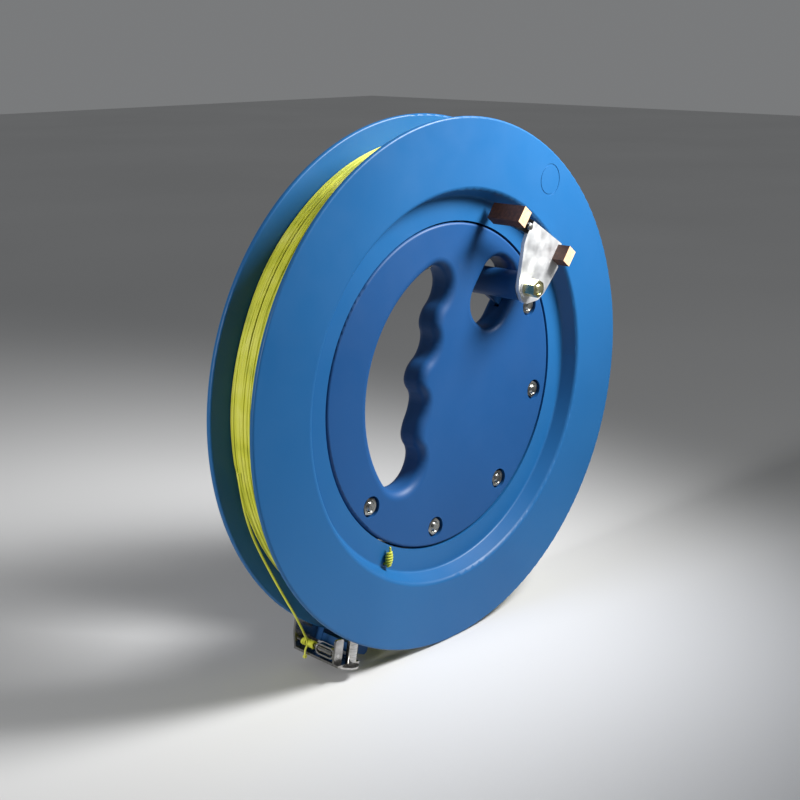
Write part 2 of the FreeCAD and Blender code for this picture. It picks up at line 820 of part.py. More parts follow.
def corner_arcs(points, radii):
    """Straight sides through points, with an arc of the given radius at some corners."""
    count = len(points)
    trims = []
    for index, spot in enumerate(points):
        before, after = points[index - 1], points[(index + 1) % count]
        radius = radii.get(index, 0.0)
        if radius == 0.0:
            trims.append((spot, spot, None, 0.0))
            continue
        a, b = toward(spot, before), toward(spot, after)
        opening = (a - b) % (2 * math.pi)
        opening = min(opening, 2 * math.pi - opening)
        reach = radius / math.tan(opening / 2)
        start = (spot[0] + reach * math.cos(a), spot[1] + reach * math.sin(a))
        end = (spot[0] + reach * math.cos(b), spot[1] + reach * math.sin(b))
        middle_angle = math.atan2(math.sin(a) + math.sin(b), math.cos(a) + math.cos(b))
        far = radius / math.sin(opening / 2)
        centre = (spot[0] + far * math.cos(middle_angle), spot[1] + far * math.sin(middle_angle))
        trims.append((start, end, centre, radius))
    edges = []
    for index, (start, end, centre, radius) in enumerate(trims):
        if centre is not None:
            a, b = toward(centre, start), toward(centre, end)
            if (b - a) % (2 * math.pi) > math.pi:
                a, b = b, a
            edges.append(arc(centre, radius, a, a + (b - a) % (2 * math.pi)))
        following = trims[(index + 1) % count][0]
        edges.append(Part.LineSegment(
            FreeCAD.Vector(end[0], end[1], 0), FreeCAD.Vector(following[0], following[1], 0)
        ))
    return edges


def brake_plate(name, side):
    """The steel plate that carries two brake blocks on one side of the wheel."""
    body = new_body(name)
    start = on_side("plate_back", side)
    outline = sketch_on(body, name + "_outline", "XZ_Plane", start)
    add_edges(outline, corner_arcs(plate_outline(), PLATE_ROUNDS))
    pad(body, outline, "plate_wall", side)
    hole = sketch_on(body, name + "_hole", "XZ_Plane", start)
    add_circle(hole, bar_spot(), "bolt_hole_radius")
    pocket(body, hole, "plate_wall", side)
    return body


def pad_holder(name, side):
    """The dark steel cheek between the plate and the upper block, on a tongue behind the plate."""
    body = new_body(name)
    start = on_side("plate_back", side)
    cheek = sketch_on(body, name + "_cheek", "XZ_Plane", start)
    upper = [pad_corner("upper", -1, 1), pad_corner("upper", 1, 1)]
    add_edges(cheek, corner_arcs([PLATE_LEFT[-1], *upper, PLATE_TOP[0]], {}))
    pad(body, cheek, "plate_wall", side)
    tongue = sketch_on(body, name + "_tongue", "XZ_Plane", start)
    root = [pad_corner("upper", -0.8, 1), pad_corner("upper", 0.8, 1)]
    add_edges(tongue, corner_arcs([*root, *TONGUE_END], {2: 1.0, 3: 1.0}))
    pad(body, tongue, str(TONGUE_WALL), -side)
    hole = sketch_on(body, name + "_hole", "XZ_Plane", on_side("plate_back + plate_wall", side))
    add_circle(hole, PAD_SCREW, "pad_screw_radius - 0.7")
    pocket(body, hole, f"plate_wall + {TONGUE_WALL}", -side)
    return body


def brake_blocks():
    """Four rectangular brake blocks, two on each side of the wheel."""
    along, across = pad_axes()
    turn = FreeCAD.Rotation(FreeCAD.Vector(0, 1, 0), -53.0)
    blocks = []
    for side_name, side in (("front", -1), ("rear", 1)):
        for place, spot in PAD_SPOTS.items():
            block = doc.addObject("Part::Box", f"brake_block_{side_name}_{place}")
            block.Label = block.Name
            block.setExpression("Length", formula("pad_length"))
            block.setExpression("Height", formula("pad_width"))
            block.setExpression("Width", formula("pad_front - pad_foot"))
            low = size("pad_foot") if side > 0 else -size("pad_front")
            half, wide = size("pad_length") / 2, size("pad_width") / 2
            corner = FreeCAD.Vector(
                spot[0] - half * along[0] + wide * across[0],
                low,
                spot[1] - half * along[1] + wide * across[1],
            )
            block.Placement = FreeCAD.Placement(corner, turn)
            blocks.append(block)
    return blocks


def thumb_bar(name, side):
    """Half of the round bar that the thumb pushes."""
    body = new_body(name)
    start = on_side("lever_half", side)
    disc = sketch_on(body, name + "_disc", "XZ_Plane", start)
    add_circle(disc, bar_spot(), "bar_radius")
    add_circle(disc, bar_spot(), "bolt_hole_radius")
    pad(body, disc, "plate_back - lever_half", side)
    return body


def brake_lever():
    """The flat lever inside the hub that carries the thumb bar."""
    body = new_body("brake_lever")
    outline = sketch_on(body, "brake_lever_outline", "XZ_Plane", "lever_half")
    add_edges(outline, belt(pivot_spot(), size("lever_pivot_radius"), bar_spot(), size("bar_radius")))
    add_circle(outline, pivot_spot(), "lever_hole_radius")
    add_circle(outline, bar_spot(), "bolt_hole_radius")
    pad(body, outline, "lever_half + lever_half", -1)
    hook = sketch_on(body, "brake_lever_hook", "XZ_Plane", "lever_half")
    add_circle(hook, spring_hook(), "spring_wire + 0.7")
    pocket(body, hook, "lever_half + lever_half", -1)
    return body


def spring_hook():
    """Where the return spring's moving end passes through the lever."""
    pivot, bar = pivot_spot(), bar_spot()
    share = 9.6 / math.dist(pivot, bar)
    return pivot[0] + share * (bar[0] - pivot[0]), pivot[1] + share * (bar[1] - pivot[1])


def brake_fasteners():
    spot = bar_spot()
    outer = "plate_back + plate_wall"
    shank = rod("brake_shank", "bolt_radius", "-plate_back - plate_wall - washer_wall - brake_nut_height - brake_tip",
                f"{outer} + washer_wall", spot)
    head = hexagon("brake_head", f"{outer} + washer_wall", f"{outer} + washer_wall + head_height", spot)
    bolt = fuse("brake_bolt", [shank, head])
    front = "-plate_back - plate_wall - washer_wall"
    nut = cut(
        "brake_nut",
        hexagon("brake_nut_blank", f"{front} - brake_nut_height", front, spot),
        rod("brake_nut_bore", "bolt_radius", f"{front} - brake_nut_height", front, spot),
    )
    washers, screws = [], []
    for number, (low, high, side) in enumerate((
        ("-plate_back - plate_wall - washer_wall", "-plate_back - plate_wall", -1),
        (outer, f"{outer} + washer_wall", 1),
    ), start=1):
        washers.append(cut(
            f"brake_washer_{number}",
            rod(f"brake_washer_blank_{number}", "washer_radius", low, high, spot),
            rod(f"brake_washer_bore_{number}", "bolt_radius", low, high, spot),
        ))
        if side < 0:
            ends = ("-plate_back - plate_wall - pad_screw_height", "-plate_back - plate_wall", "-plate_back + 1")
        else:
            ends = ("plate_back - 1", outer, f"{outer} + pad_screw_height")
        head_ends = ends[:2] if side < 0 else ends[1:]
        stem_ends = ends[1:] if side < 0 else ends[:2]
        screws.append(fuse(f"pad_screw_{number}", [
            rod(f"pad_screw_head_{number}", "pad_screw_radius", *head_ends, PAD_SCREW),
            rod(f"pad_screw_stem_{number}", "pad_screw_radius - 0.7", *stem_ends, PAD_SCREW),
        ]))
    bush = cut(
        "brake_pivot_bush",
        rod("bush_blank", "bush_radius", "-lever_slot_half", "lever_slot_half", pivot_spot()),
        rod("bush_bore", "bolt_radius", "-lever_slot_half", "lever_slot_half", pivot_spot()),
    )
    return [bolt, nut, group("brake_washers", washers), group("pad_screws", screws), bush]


def return_spring():
    """A torsion spring round the pivot: three turns, one fixed leg and one hooked leg."""
    pivot = pivot_spot()
    coils = []
    first = size("lever_half") + 2 * size("spring_wire")
    for turn in range(3):
        ring = doc.addObject("Part::Torus", f"spring_turn_{turn + 1}")
        ring.setExpression("Radius1", formula("spring_radius"))
        ring.setExpression("Radius2", formula("spring_wire"))
        depth = first + turn * 1.7 * size("spring_wire")
        ring.Placement = FreeCAD.Placement(FreeCAD.Vector(pivot[0], depth, pivot[1]), ALONG_Y)
        coils.append(ring)
    hook = spring_hook()
    coils.append(
        rod("spring_hook", "spring_wire", "-lever_half", "lever_half + spring_wire + spring_wire", hook)
    )
    coils.append(spring_leg("spring_arm", pivot, hook, first, size("spring_radius") - 0.2))
    anchor = (pivot[0] + 8.0, pivot[1] - 3.5)
    last = first + 2 * 1.7 * size("spring_wire")
    coils.append(spring_leg("spring_foot", pivot, anchor, last, size("spring_radius") - 0.2))
    return fuse("brake_return_spring", coils)


def spring_leg(name, pivot, end, depth, start_radius):
    """A straight leg that leaves the coil and points away from the pivot."""
    heading = unit(math.degrees(toward(pivot, end)))
    leg = doc.addObject("Part::Cylinder", name)
    leg.setExpression("Radius", formula("spring_wire"))
    leg.Height = math.dist(pivot, end) - start_radius
    base = FreeCAD.Vector(pivot[0] + start_radius * heading[0], depth, pivot[1] + start_radius * heading[1])
    turn = FreeCAD.Rotation(UP, FreeCAD.Vector(heading[0], 0, heading[1]))
    leg.Placement = FreeCAD.Placement(base, turn)
    return leg


# ---------------------------------------------------------------- line guide

def in_guide(across, down):
    """A point of the guide's own flat frame, in the wheel's x and z."""
    fall = unit(GUIDE_DOWN)
    side = (-fall[1], fall[0])
    return (
        size("guide_x") + across * side[0] + down * fall[0],
        size("guide_z") + across * side[1] + down * fall[1],
    )


def in_arm(radius, across):
    """A point at a radius along the arm and a distance across it."""
    out = unit(ARM_ANGLE)
    side = (-out[1], out[0])
    return radius * out[0] + across * side[0], radius * out[1] + across * side[1]


def guide_arm():
    """The moulded arm from the hub's back, behind the wheel and under its rims."""
    body = new_body("guide_arm")
    foot = sketch_on(body, "arm_foot", "XZ_Plane", "hub_half")
    first, second = (polar(size("bolt_circle"), angle) for angle in ARM_BOLTS)
    add_edges(foot, corner_arcs(
        [in_arm(60, -34), in_arm(73, -35), in_arm(79, 0), in_arm(73, 35), in_arm(60, 34), in_arm(61.5, 0)],
        {0: 5.0, 1: 6.0, 3: 6.0, 4: 5.0},
    ))
    pad(body, foot, "foot_wall", 1)
    riser = sketch_on(body, "arm_riser", "XZ_Plane", "hub_half")
    add_edges(riser, corner_arcs(
        [in_arm(63, -12), in_arm(77.5, -12), in_arm(77.5, 12), in_arm(63, 12)], {0: 3.0, 3: 3.0},
    ))
    pad(body, riser, "rim_half_width - hub_half + arm_clear + arm_wall", 1)
    blade = sketch_on(body, "arm_blade", "XZ_Plane", "rim_half_width + arm_clear")
    add_edges(blade, corner_arcs([
        in_arm(63, -12), in_arm(95, -10), in_arm(size("lug_outer"), -6.6),
        in_arm(size("lug_outer"), 8.4), in_arm(95, 12), in_arm(63, 12),
    ], {0: 3.0, 5: 3.0, 3: 2.0}))
    pad(body, blade, "arm_wall", 1)
    lug = sketch_on(body, "arm_lug", "XZ_Plane", "-lug_front")
    add_edges(lug, corner_arcs([
        in_arm(size("lug_inner"), -6.6), in_arm(size("lug_outer"), -6.6),
        in_arm(size("lug_outer"), 8.4), in_arm(size("lug_inner"), 8.4),
    ], {1: 1.5, 2: 2.0}))
    pad(body, lug, "lug_front + rim_half_width + arm_clear + arm_wall", 1)
    holes = sketch_on(body, "arm_holes", "XZ_Plane", "hub_half")
    for spot in (first, second):
        add_circle(holes, spot, "bolt_hole_radius")
    pocket(body, holes, "foot_wall + 12", 1)
    screw_holes = sketch_on(body, "arm_screw_holes", "XZ_Plane", "rim_half_width + arm_clear + arm_wall")
    for spot in bracket_screw_spots():
        add_circle(screw_holes, spot, "spool_screw_radius")
    pocket(body, screw_holes, "arm_wall - 0.6", -1)
    return body


def bracket_screw_spots():
    return [in_arm(127.0, 0.6), in_arm(134.0, 3.4)]


SHELF_LEFT, SHELF_RIGHT = -12.0, 2.4
SHELF_FRONT, TAB_FRONT = -9.0, -6.0
TAB_WIDTH, TAB_TOP = 5.2, -11.6
WALL_TOP = -19.0


def guide_bracket():
    """Bent stainless sheet: a wall behind the wheel, a shelf under it and an upright tab."""
    body = new_body("bracket_sheet")
    back = "rim_half_width + arm_clear + arm_wall"
    wall = sketch_on(body, "bracket_wall", "XZ_Plane", back)
    add_edges(wall, corner_arcs([
        in_guide(SHELF_LEFT, 0), in_guide(SHELF_LEFT - 1.5, -7), in_guide(SHELF_LEFT - 1.8, -13),
        in_guide(SHELF_LEFT - 0.8, WALL_TOP), in_guide(9.0, WALL_TOP), in_guide(9.0, -3.0),
        in_guide(SHELF_RIGHT, 0),
    ], {1: 20.0, 2: 20.0, 3: 2.0, 4: 3.0}))
    pad(body, wall, "sheet_wall", 1)
    shelf = sketch_on(body, "bracket_shelf", "XZ_Plane", str(SHELF_FRONT))
    thickness = size("sheet_wall")
    add_edges(shelf, corner_arcs([
        in_guide(SHELF_LEFT, 0), in_guide(SHELF_RIGHT, 0),
        in_guide(SHELF_RIGHT, thickness), in_guide(SHELF_LEFT, thickness),
    ], {}))
    pad(body, shelf, f"{-SHELF_FRONT} + rim_half_width + arm_clear + arm_wall + sheet_wall", 1)
    tab = sketch_on(body, "bracket_tab", "XZ_Plane", str(TAB_FRONT))
    tab_right = SHELF_LEFT + TAB_WIDTH
    add_edges(tab, corner_arcs([
        in_guide(SHELF_LEFT, thickness), in_guide(SHELF_LEFT, TAB_TOP),
        in_guide(tab_right, TAB_TOP), in_guide(tab_right, thickness),
    ], {1: 1.0, 2: 1.0}))
    pad(body, tab, "sheet_wall", 1)
    holes = sketch_on(body, "bracket_holes", "XZ_Plane", back)
    for spot in bracket_screw_spots():
        add_circle(holes, spot, "spool_screw_radius + 0.1")
    pocket(body, holes, "sheet_wall", 1)
    bar_hole = sketch_on(body, "bracket_bar_hole", "XZ_Plane", str(TAB_FRONT - 1))
    add_circle(bar_hole, guide_bar_spot(), "guide_bar_radius")
    pocket(body, bar_hole, "60", 1)
    post_hole = tilted_rod(
        "bracket_post_hole", "post_radius - 1.25", -thickness - 1, 1, POST_ACROSS, POST_DEPTH
    )
    return cut("guide_bracket", body, post_hole)


def guide_bar_spot():
    return in_guide(SHELF_LEFT + 2.4, -size("bar_height"))


def tilted_rod(name, radius, start, end, at, depth):
    """A cylinder along the guide's own up and down direction."""
    solid = doc.addObject("Part::Cylinder", name)
    solid.setExpression("Radius", formula(radius))
    solid.Height = end - start
    low = in_guide(at, -start)
    fall = unit(GUIDE_DOWN)
    turn = FreeCAD.Rotation(UP, FreeCAD.Vector(-fall[0], 0, -fall[1]))
    solid.Placement = FreeCAD.Placement(FreeCAD.Vector(low[0], depth, low[1]), turn)
    return solid


POST_ACROSS, POST_DEPTH = -0.9, -6.4


def guide_pieces():
    """The flanged post, the bar with its roller and eye, and the bracket's screws."""
    post = fuse("guide_post", [
        tilted_rod("post_stem", "post_radius", 0, size("post_height"), POST_ACROSS, POST_DEPTH),
        tilted_rod("post_spigot", "post_radius - 1.25", -size("sheet_wall"), 0, POST_ACROSS, POST_DEPTH),
        tilted_rod(
            "post_foot", "post_foot_radius", -size("sheet_wall") - 1.0, -size("sheet_wall"),
            POST_ACROSS - 2.4, POST_DEPTH,
        ),
    ])
    spot = guide_bar_spot()
    bar = rod("guide_bar", "guide_bar_radius", str(TAB_FRONT),
              "rim_half_width + arm_clear + arm_wall + sheet_wall + 0.8", spot)
    roller = cut(
        "guide_roller",
        rod("roller_blank", "roller_radius", str(ROLLER_START), str(ROLLER_END), spot),
        rod("roller_bore", "guide_bar_radius + roller_clear", str(ROLLER_START), str(ROLLER_END), spot),
    )
    screws = []
    for number, place in enumerate(bracket_screw_spots(), start=1):
        under = "rim_half_width + arm_clear + arm_wall + sheet_wall"
        screws.append(fuse(f"bracket_screw_{number}", [
            rod(f"bracket_thread_{number}", "spool_screw_radius", f"{under} - sheet_wall - 3", under, place),
            rod(f"bracket_head_{number}", "spool_head_radius - 0.2", under, f"{under} + 1.6", place),
        ]))
    return [post, bar, roller, group("bracket_screws", screws), roller_eye()]


ROLLER_START, ROLLER_END = -2.4, 6.4
EYE_START, EYE_END = -4.4, 8.4


def roller_eye():
    """A flat oval ring that the bar passes through lengthwise; the roller turns inside it."""
    spot = guide_bar_spot()
    fall = unit(GUIDE_DOWN)
    middle = (EYE_START + EYE_END) / 2
    half_long, half_tall, wire = (EYE_END - EYE_START) / 2, 2.8, 0.8
    thick = 2.8

    def oval(shrink):
        long_half, tall_half = half_long - shrink, half_tall - shrink
        ends = long_half - tall_half
        flat = FreeCAD.Vector
        top = Part.makeLine(flat(-ends, tall_half, 0), flat(ends, tall_half, 0))
        right = Part.Arc(
            flat(ends, tall_half, 0), flat(long_half, 0, 0), flat(ends, -tall_half, 0)
        ).toShape()
        foot = Part.makeLine(flat(ends, -tall_half, 0), flat(-ends, -tall_half, 0))
        left = Part.Arc(
            flat(-ends, -tall_half, 0), flat(-long_half, 0, 0), flat(-ends, tall_half, 0)
        ).toShape()
        return Part.Face(Part.Wire([top, right, foot, left])).extrude(flat(0, 0, thick))

    ring = oval(0.0).cut(oval(wire))
    hole = Part.makeCylinder(
        size("guide_bar_radius"), 40, FreeCAD.Vector(-20, 0, thick / 2), FreeCAD.Vector(1, 0, 0)
    )
    ring = ring.cut(hole)
    # Local x is the wheel's axis, local y points up in the guide's frame.
    up = FreeCAD.Vector(-fall[0], 0, -fall[1])
    along = FreeCAD.Vector(0, 1, 0)
    normal = along.cross(up)
    base = FreeCAD.Vector(spot[0], middle, spot[1]) - normal * (thick / 2)
    frame = FreeCAD.Matrix(
        along.x, up.x, normal.x, base.x,
        along.y, up.y, normal.y, base.y,
        along.z, up.z, normal.z, base.z,
        0, 0, 0, 1,
    )
    return feature("roller_eye", ring.transformGeometry(frame).removeSplitter())


# ---------------------------------------------------------------- loose line

WRAP_START, WRAP_END = 9.4, 18.6
TAIL_START_ANGLE, TAIL_START_DEPTH = 188.0, 6.2
TAIL_RUN = ((0.42, 0.9, 10.9), (0.78, 0.3, 11.5), (1.0, 0.0, 14.6))   # share, bulge, depth


def tube(points):
    """A round line through points, its runs joined by the largest tangent arcs."""
    spots = [FreeCAD.Vector(*p) for p in points]
    edges, cursor = [], spots[0]
    for before, corner, after in zip(spots, spots[1:], spots[2:]):
        back, ahead = before - corner, after - corner
        shorter = min(back.Length, ahead.Length)
        turn = math.pi - back.getAngle(ahead)
        reach = 0.45 * shorter
        radius = reach / math.tan(turn / 2)
        a = corner + FreeCAD.Vector(back).normalize() * reach
        b = corner + FreeCAD.Vector(ahead).normalize() * reach
        bisector = (FreeCAD.Vector(back).normalize() + FreeCAD.Vector(ahead).normalize()).normalize()
        middle = corner + bisector * (math.hypot(radius, reach) - radius)
        edges.append(Part.LineSegment(cursor, a).toShape())
        edges.append(Part.Arc(a, middle, b).toShape())
        print("line arc radius", round(radius, 1))
        cursor = b
    edges.append(Part.LineSegment(cursor, spots[-1]).toShape())
    path = Part.Wire(edges)
    radius = size("line_radius")
    start = spots[0]
    profile = Part.Wire([Part.makeCircle(radius, start, spots[1] - start)])
    solid = path.makePipeShell([profile], True, False)
    expected = math.pi * radius ** 2 * path.Length
    print("line tube", round(path.Length, 1), "mm, volume ratio", round(solid.Volume / expected, 4))
    return solid


def tail_points():
    """The line's way from the pack's surface to the guide bar."""
    ride = size("pack_top_radius") + size("line_radius") + size("tail_clear")
    wrap = size("guide_bar_radius") + size("line_radius") + size("line_radius")
    bar = guide_bar_spot()
    goal_radius = math.hypot(*bar)
    goal_angle = math.degrees(math.atan2(bar[1], bar[0])) % 360
    leave = goal_angle - math.degrees(math.acos(ride / goal_radius))
    heading = unit(leave + 90)
    touch = polar(ride, leave)
    run = math.sqrt(goal_radius ** 2 - ride ** 2) - wrap - 0.2
    points = []
    for share in (0.0, 0.34, 0.67, 1.0):
        angle = TAIL_START_ANGLE + share * (leave - TAIL_START_ANGLE)
        spot = polar(ride + 0.5, angle)
        points.append((spot[0], TAIL_START_DEPTH + 4 * share, spot[1]))
    outward = unit(leave)
    for share, bulge, depth in TAIL_RUN:
        points.append((
            touch[0] + share * run * heading[0] + bulge * outward[0], depth,
            touch[1] + share * run * heading[1] + bulge * outward[1],
        ))
    return points


def loose_line():
    spot = guide_bar_spot()
    tail = feature("line_tail", tube(tail_points()))
    wraps = cut(
        "line_wraps",
        rod("wraps_blank", "guide_bar_radius + line_radius + line_radius", str(WRAP_START), str(WRAP_END), spot),
        rod("wraps_bore", "guide_bar_radius", str(WRAP_START), str(WRAP_END), spot),
    )
    outward = size("guide_bar_radius") + 2 * size("line_radius") + size("line_radius")
    fall, side = unit(GUIDE_DOWN), unit(GUIDE_DOWN - 90)
    drop = []
    hang = ((outward, 0.0), (outward + 0.6, 2.0), (outward + 0.8, 4.0), (outward + 0.7, 5.8))
    for step, (away, down) in enumerate(hang):
        drop.append((
            spot[0] + away * side[0] + down * fall[0],
            WRAP_START + 4 - 0.3 * step,
            spot[1] + away * side[1] + down * fall[1],
        ))
    end = tube(drop)
    knot = Part.makeSphere(1.15, FreeCAD.Vector(*drop[-1]))
    return [tail, wraps, feature("line_end", end.fuse(knot))]


# ---------------------------------------------------------------- build and write

def build():
    fill_sheet()
    nodes = [hub_shell("hub_front_shell", -1), hub_shell("hub_rear_shell", 1)]
    nodes += hub_fasteners()
    nodes += bearings()
    nodes += [spool_half("spool_front_half", -1), spool_half("spool_rear_half", 1)]
    nodes += [spool_screws(), line_pack(), line_anchor_knot()]
    nodes += [brake_plate("brake_plate_front", -1), brake_plate("brake_plate_rear", 1)]
    nodes += [pad_holder("pad_holder_front", -1), pad_holder("pad_holder_rear", 1)]
    nodes += [thumb_bar("thumb_bar_front", -1), thumb_bar("thumb_bar_rear", 1), brake_lever()]
    nodes += brake_blocks() + brake_fasteners() + [return_spring()]
    nodes += [guide_arm(), guide_bracket()] + guide_pieces() + loose_line()
    doc.recompute()
    return nodes


def write(nodes):
    faults = [o.Label for o in doc.Objects if "Invalid" in o.State or "Error" in o.State]
    for node in nodes:
        if node.Shape.isNull() or not node.Shape.isValid() or not node.Shape.Solids:
            faults.append(f"{node.Label}: bad shape")
    if faults:
        raise RuntimeError("failed objects: " + ", ".join(faults))
    os.makedirs("parts", exist_ok=True)
    for node in nodes:
        node.Shape.exportStep(f"parts/{node.Label}.step")
        box = node.Shape.BoundBox
        print(f"{node.Label}: {len(node.Shape.Solids)} solid(s), {node.Shape.Volume / 1000:.2f} cm3, "
              f"x {box.XMin:.1f}..{box.XMax:.1f} y {box.YMin:.1f}..{box.YMax:.1f} z {box.ZMin:.1f}..{box.ZMax:.1f}")


write(build())
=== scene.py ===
import json
import math
import random

import bpy
import numpy as np
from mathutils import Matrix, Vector


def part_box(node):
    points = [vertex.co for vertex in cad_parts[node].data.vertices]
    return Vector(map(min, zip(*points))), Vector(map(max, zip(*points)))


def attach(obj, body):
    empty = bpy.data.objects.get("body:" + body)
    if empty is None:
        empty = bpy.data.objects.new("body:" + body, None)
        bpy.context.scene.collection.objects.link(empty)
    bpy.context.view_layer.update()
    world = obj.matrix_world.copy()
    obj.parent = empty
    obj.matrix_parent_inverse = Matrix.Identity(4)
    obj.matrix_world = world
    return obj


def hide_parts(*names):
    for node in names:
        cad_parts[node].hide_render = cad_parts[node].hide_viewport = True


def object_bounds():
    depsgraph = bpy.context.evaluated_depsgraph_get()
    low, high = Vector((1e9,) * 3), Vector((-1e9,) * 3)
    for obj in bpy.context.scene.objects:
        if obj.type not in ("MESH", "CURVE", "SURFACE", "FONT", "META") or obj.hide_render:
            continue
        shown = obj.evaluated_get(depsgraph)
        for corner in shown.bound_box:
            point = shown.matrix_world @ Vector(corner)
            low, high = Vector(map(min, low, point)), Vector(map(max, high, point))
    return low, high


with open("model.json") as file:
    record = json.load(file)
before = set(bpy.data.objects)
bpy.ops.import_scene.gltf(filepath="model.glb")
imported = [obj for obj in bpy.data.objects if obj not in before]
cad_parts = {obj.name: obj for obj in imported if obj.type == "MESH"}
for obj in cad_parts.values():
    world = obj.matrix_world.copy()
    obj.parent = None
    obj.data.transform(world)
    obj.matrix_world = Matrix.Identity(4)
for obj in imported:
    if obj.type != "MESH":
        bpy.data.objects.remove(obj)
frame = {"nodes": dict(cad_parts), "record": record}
CAD_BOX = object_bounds()
NODES = frame["nodes"]
JOINTS = {joint["name"]: joint for joint in frame["record"]["behaviour"]["joints"]}
MM = 0.001
FULL_TURN = 2 * math.pi


# ---------------------------------------------------------------- camera, floor, light

CAMERA_LENS = 58.5
CAMERA_PLACE = (-0.4596, -0.4120, 0.1680)
CAMERA_HEADING = Vector((0.698, 0.662, -0.274))
AMBIENT_STRENGTH = 0.20
FLOOR_WIDTH = 8


def set_camera():
    data = bpy.data.cameras.new("camera")
    data.lens = CAMERA_LENS
    camera = bpy.data.objects.new("camera", data)
    bpy.context.scene.collection.objects.link(camera)
    camera.location = CAMERA_PLACE
    camera.rotation_euler = CAMERA_HEADING.to_track_quat("-Z", "Y").to_euler()
    bpy.context.scene.camera = camera


def area_light(name, place, target, width, power, spread):
    """A rectangular lamp aimed at a target point, with its power in watts and its spread in degrees."""
    data = bpy.data.lights.new(name, "AREA")
    data.shape = "RECTANGLE"
    data.size, data.size_y = width
    data.energy = power
    data.spread = math.radians(spread)
    lamp = bpy.data.objects.new(name, data)
    bpy.context.scene.collection.objects.link(lamp)
    lamp.location = place
    lamp.rotation_euler = (Vector(target) - Vector(place)).to_track_quat("-Z", "Y").to_euler()


def set_lights():
    world = bpy.data.worlds.new("studio")
    bpy.context.scene.world = world
    world.use_nodes = True
    backdrop = world.node_tree.nodes["Background"]
    backdrop.inputs["Color"].default_value = (0.96, 0.98, 1.0, 1)
    backdrop.inputs["Strength"].default_value = AMBIENT_STRENGTH
    area_light("key", (0.24, -0.27, 0.37), (0.05, 0, 0.10), (0.20, 0.20), 1.30, 68)
    area_light("side", (-0.85, 0.05, 0.25), (-0.12, 0, 0), (0.12, 0.45), 0.62, 70)
    bpy.context.scene.view_settings.view_transform = "Standard"


def set_floor():
    low = CAD_BOX[0]
    bpy.ops.mesh.primitive_plane_add(size=FLOOR_WIDTH, location=(0, 0, low[2]))
    floor = bpy.context.object
    floor.name = "floor"
    floor.data.materials.append(MATERIALS["floor"])


# ---------------------------------------------------------------- materials

def new_material(name):
    material = bpy.data.materials.new(name)
    material.use_nodes = True
    tree = material.node_tree
    return material, tree, tree.nodes["Principled BSDF"]


def add_node(tree, kind, **settings):
    node = tree.nodes.new(kind)
    for key, value in settings.items():
        if key in node.inputs:
            node.inputs[key].default_value = value
        else:
            setattr(node, key, value)
    return node


def noise(tree, scale, detail=3.0, stretch=(1, 1, 1), roughness=0.5):
    place = add_node(tree, "ShaderNodeTexCoord")
    mapping = add_node(tree, "ShaderNodeMapping")
    mapping.inputs["Scale"].default_value = stretch
    tree.links.new(place.outputs["Object"], mapping.inputs["Vector"])
    texture = add_node(tree, "ShaderNodeTexNoise", Scale=scale, Detail=detail, Roughness=roughness)
    tree.links.new(mapping.outputs["Vector"], texture.inputs["Vector"])
    return texture


def ramp(tree, source, stops):
    node = tree.nodes.new("ShaderNodeValToRGB")
    tree.links.new(source, node.inputs["Fac"])
    elements = node.color_ramp.elements
    while len(elements) < len(stops):
        elements.new(0.5)
    for element, (position, colour) in zip(elements, stops):
        element.position = position
        element.color = (*colour, 1)
    return node.outputs["Color"]


def level(tree, source, low, high, start=0.3, end=0.7):
    node = add_node(tree, "ShaderNodeMapRange")
    for key, value in (("From Min", start), ("From Max", end), ("To Min", low), ("To Max", high)):
        node.inputs[key].default_value = value
    tree.links.new(source, node.inputs["Value"])
    return node.outputs["Result"]


def bump(tree, shader, sources):
    """Stacks bump nodes: sources are (height socket, strength, distance in metres)."""
    last = None
    for height, strength, distance in sources:
        node = add_node(tree, "ShaderNodeBump", Strength=strength, Distance=distance)
        tree.links.new(height, node.inputs["Height"])
        if last is not None:
            tree.links.new(last, node.inputs["Normal"])
        last = node.outputs["Normal"]
    tree.links.new(last, shader.inputs["Normal"])


def plastic(name, dark, light, rough, grain, grain_depth):
    """Moulded plastic: slow colour drift, fine grain and a few soft flow marks."""
    material, tree, shader = new_material(name)
    drift = noise(tree, 9.0, 2.0)
    colour = ramp(tree, drift.outputs["Fac"], ((0.35, dark), (0.68, light)))
    tree.links.new(colour, shader.inputs["Base Color"])
    fine = noise(tree, grain, 2.0)
    flow = noise(tree, 55.0, 3.0)
    tree.links.new(level(tree, flow.outputs["Fac"], rough - 0.05, rough + 0.06), shader.inputs["Roughness"])
    shader.inputs["Specular IOR Level"].default_value = 0.32
    bump(tree, shader, (
        (flow.outputs["Fac"], 0.10, 0.0006),
        (fine.outputs["Fac"], 0.35, grain_depth),
    ))
    return material


def metal(name, dark, light, rough, scale, stretch=(1, 1, 1), depth=0.00004, mottled=0.0):
    """Bare or plated metal with fine directional marks and a slow change of tone."""
    material, tree, shader = new_material(name)
    shader.inputs["Metallic"].default_value = 1.0
    marks = noise(tree, scale, 4.0, stretch)
    patches = noise(tree, 130.0, 2.0)
    tone = marks if mottled == 0.0 else patches
    colour = ramp(tree, tone.outputs["Fac"], ((0.34, dark), (0.66, light)))
    tree.links.new(colour, shader.inputs["Base Color"])
    tree.links.new(
        level(tree, patches.outputs["Fac"], rough - 0.06, rough + 0.08 + mottled),
        shader.inputs["Roughness"],
    )
    bump(tree, shader, ((marks.outputs["Fac"], 0.4, depth),))
    return material


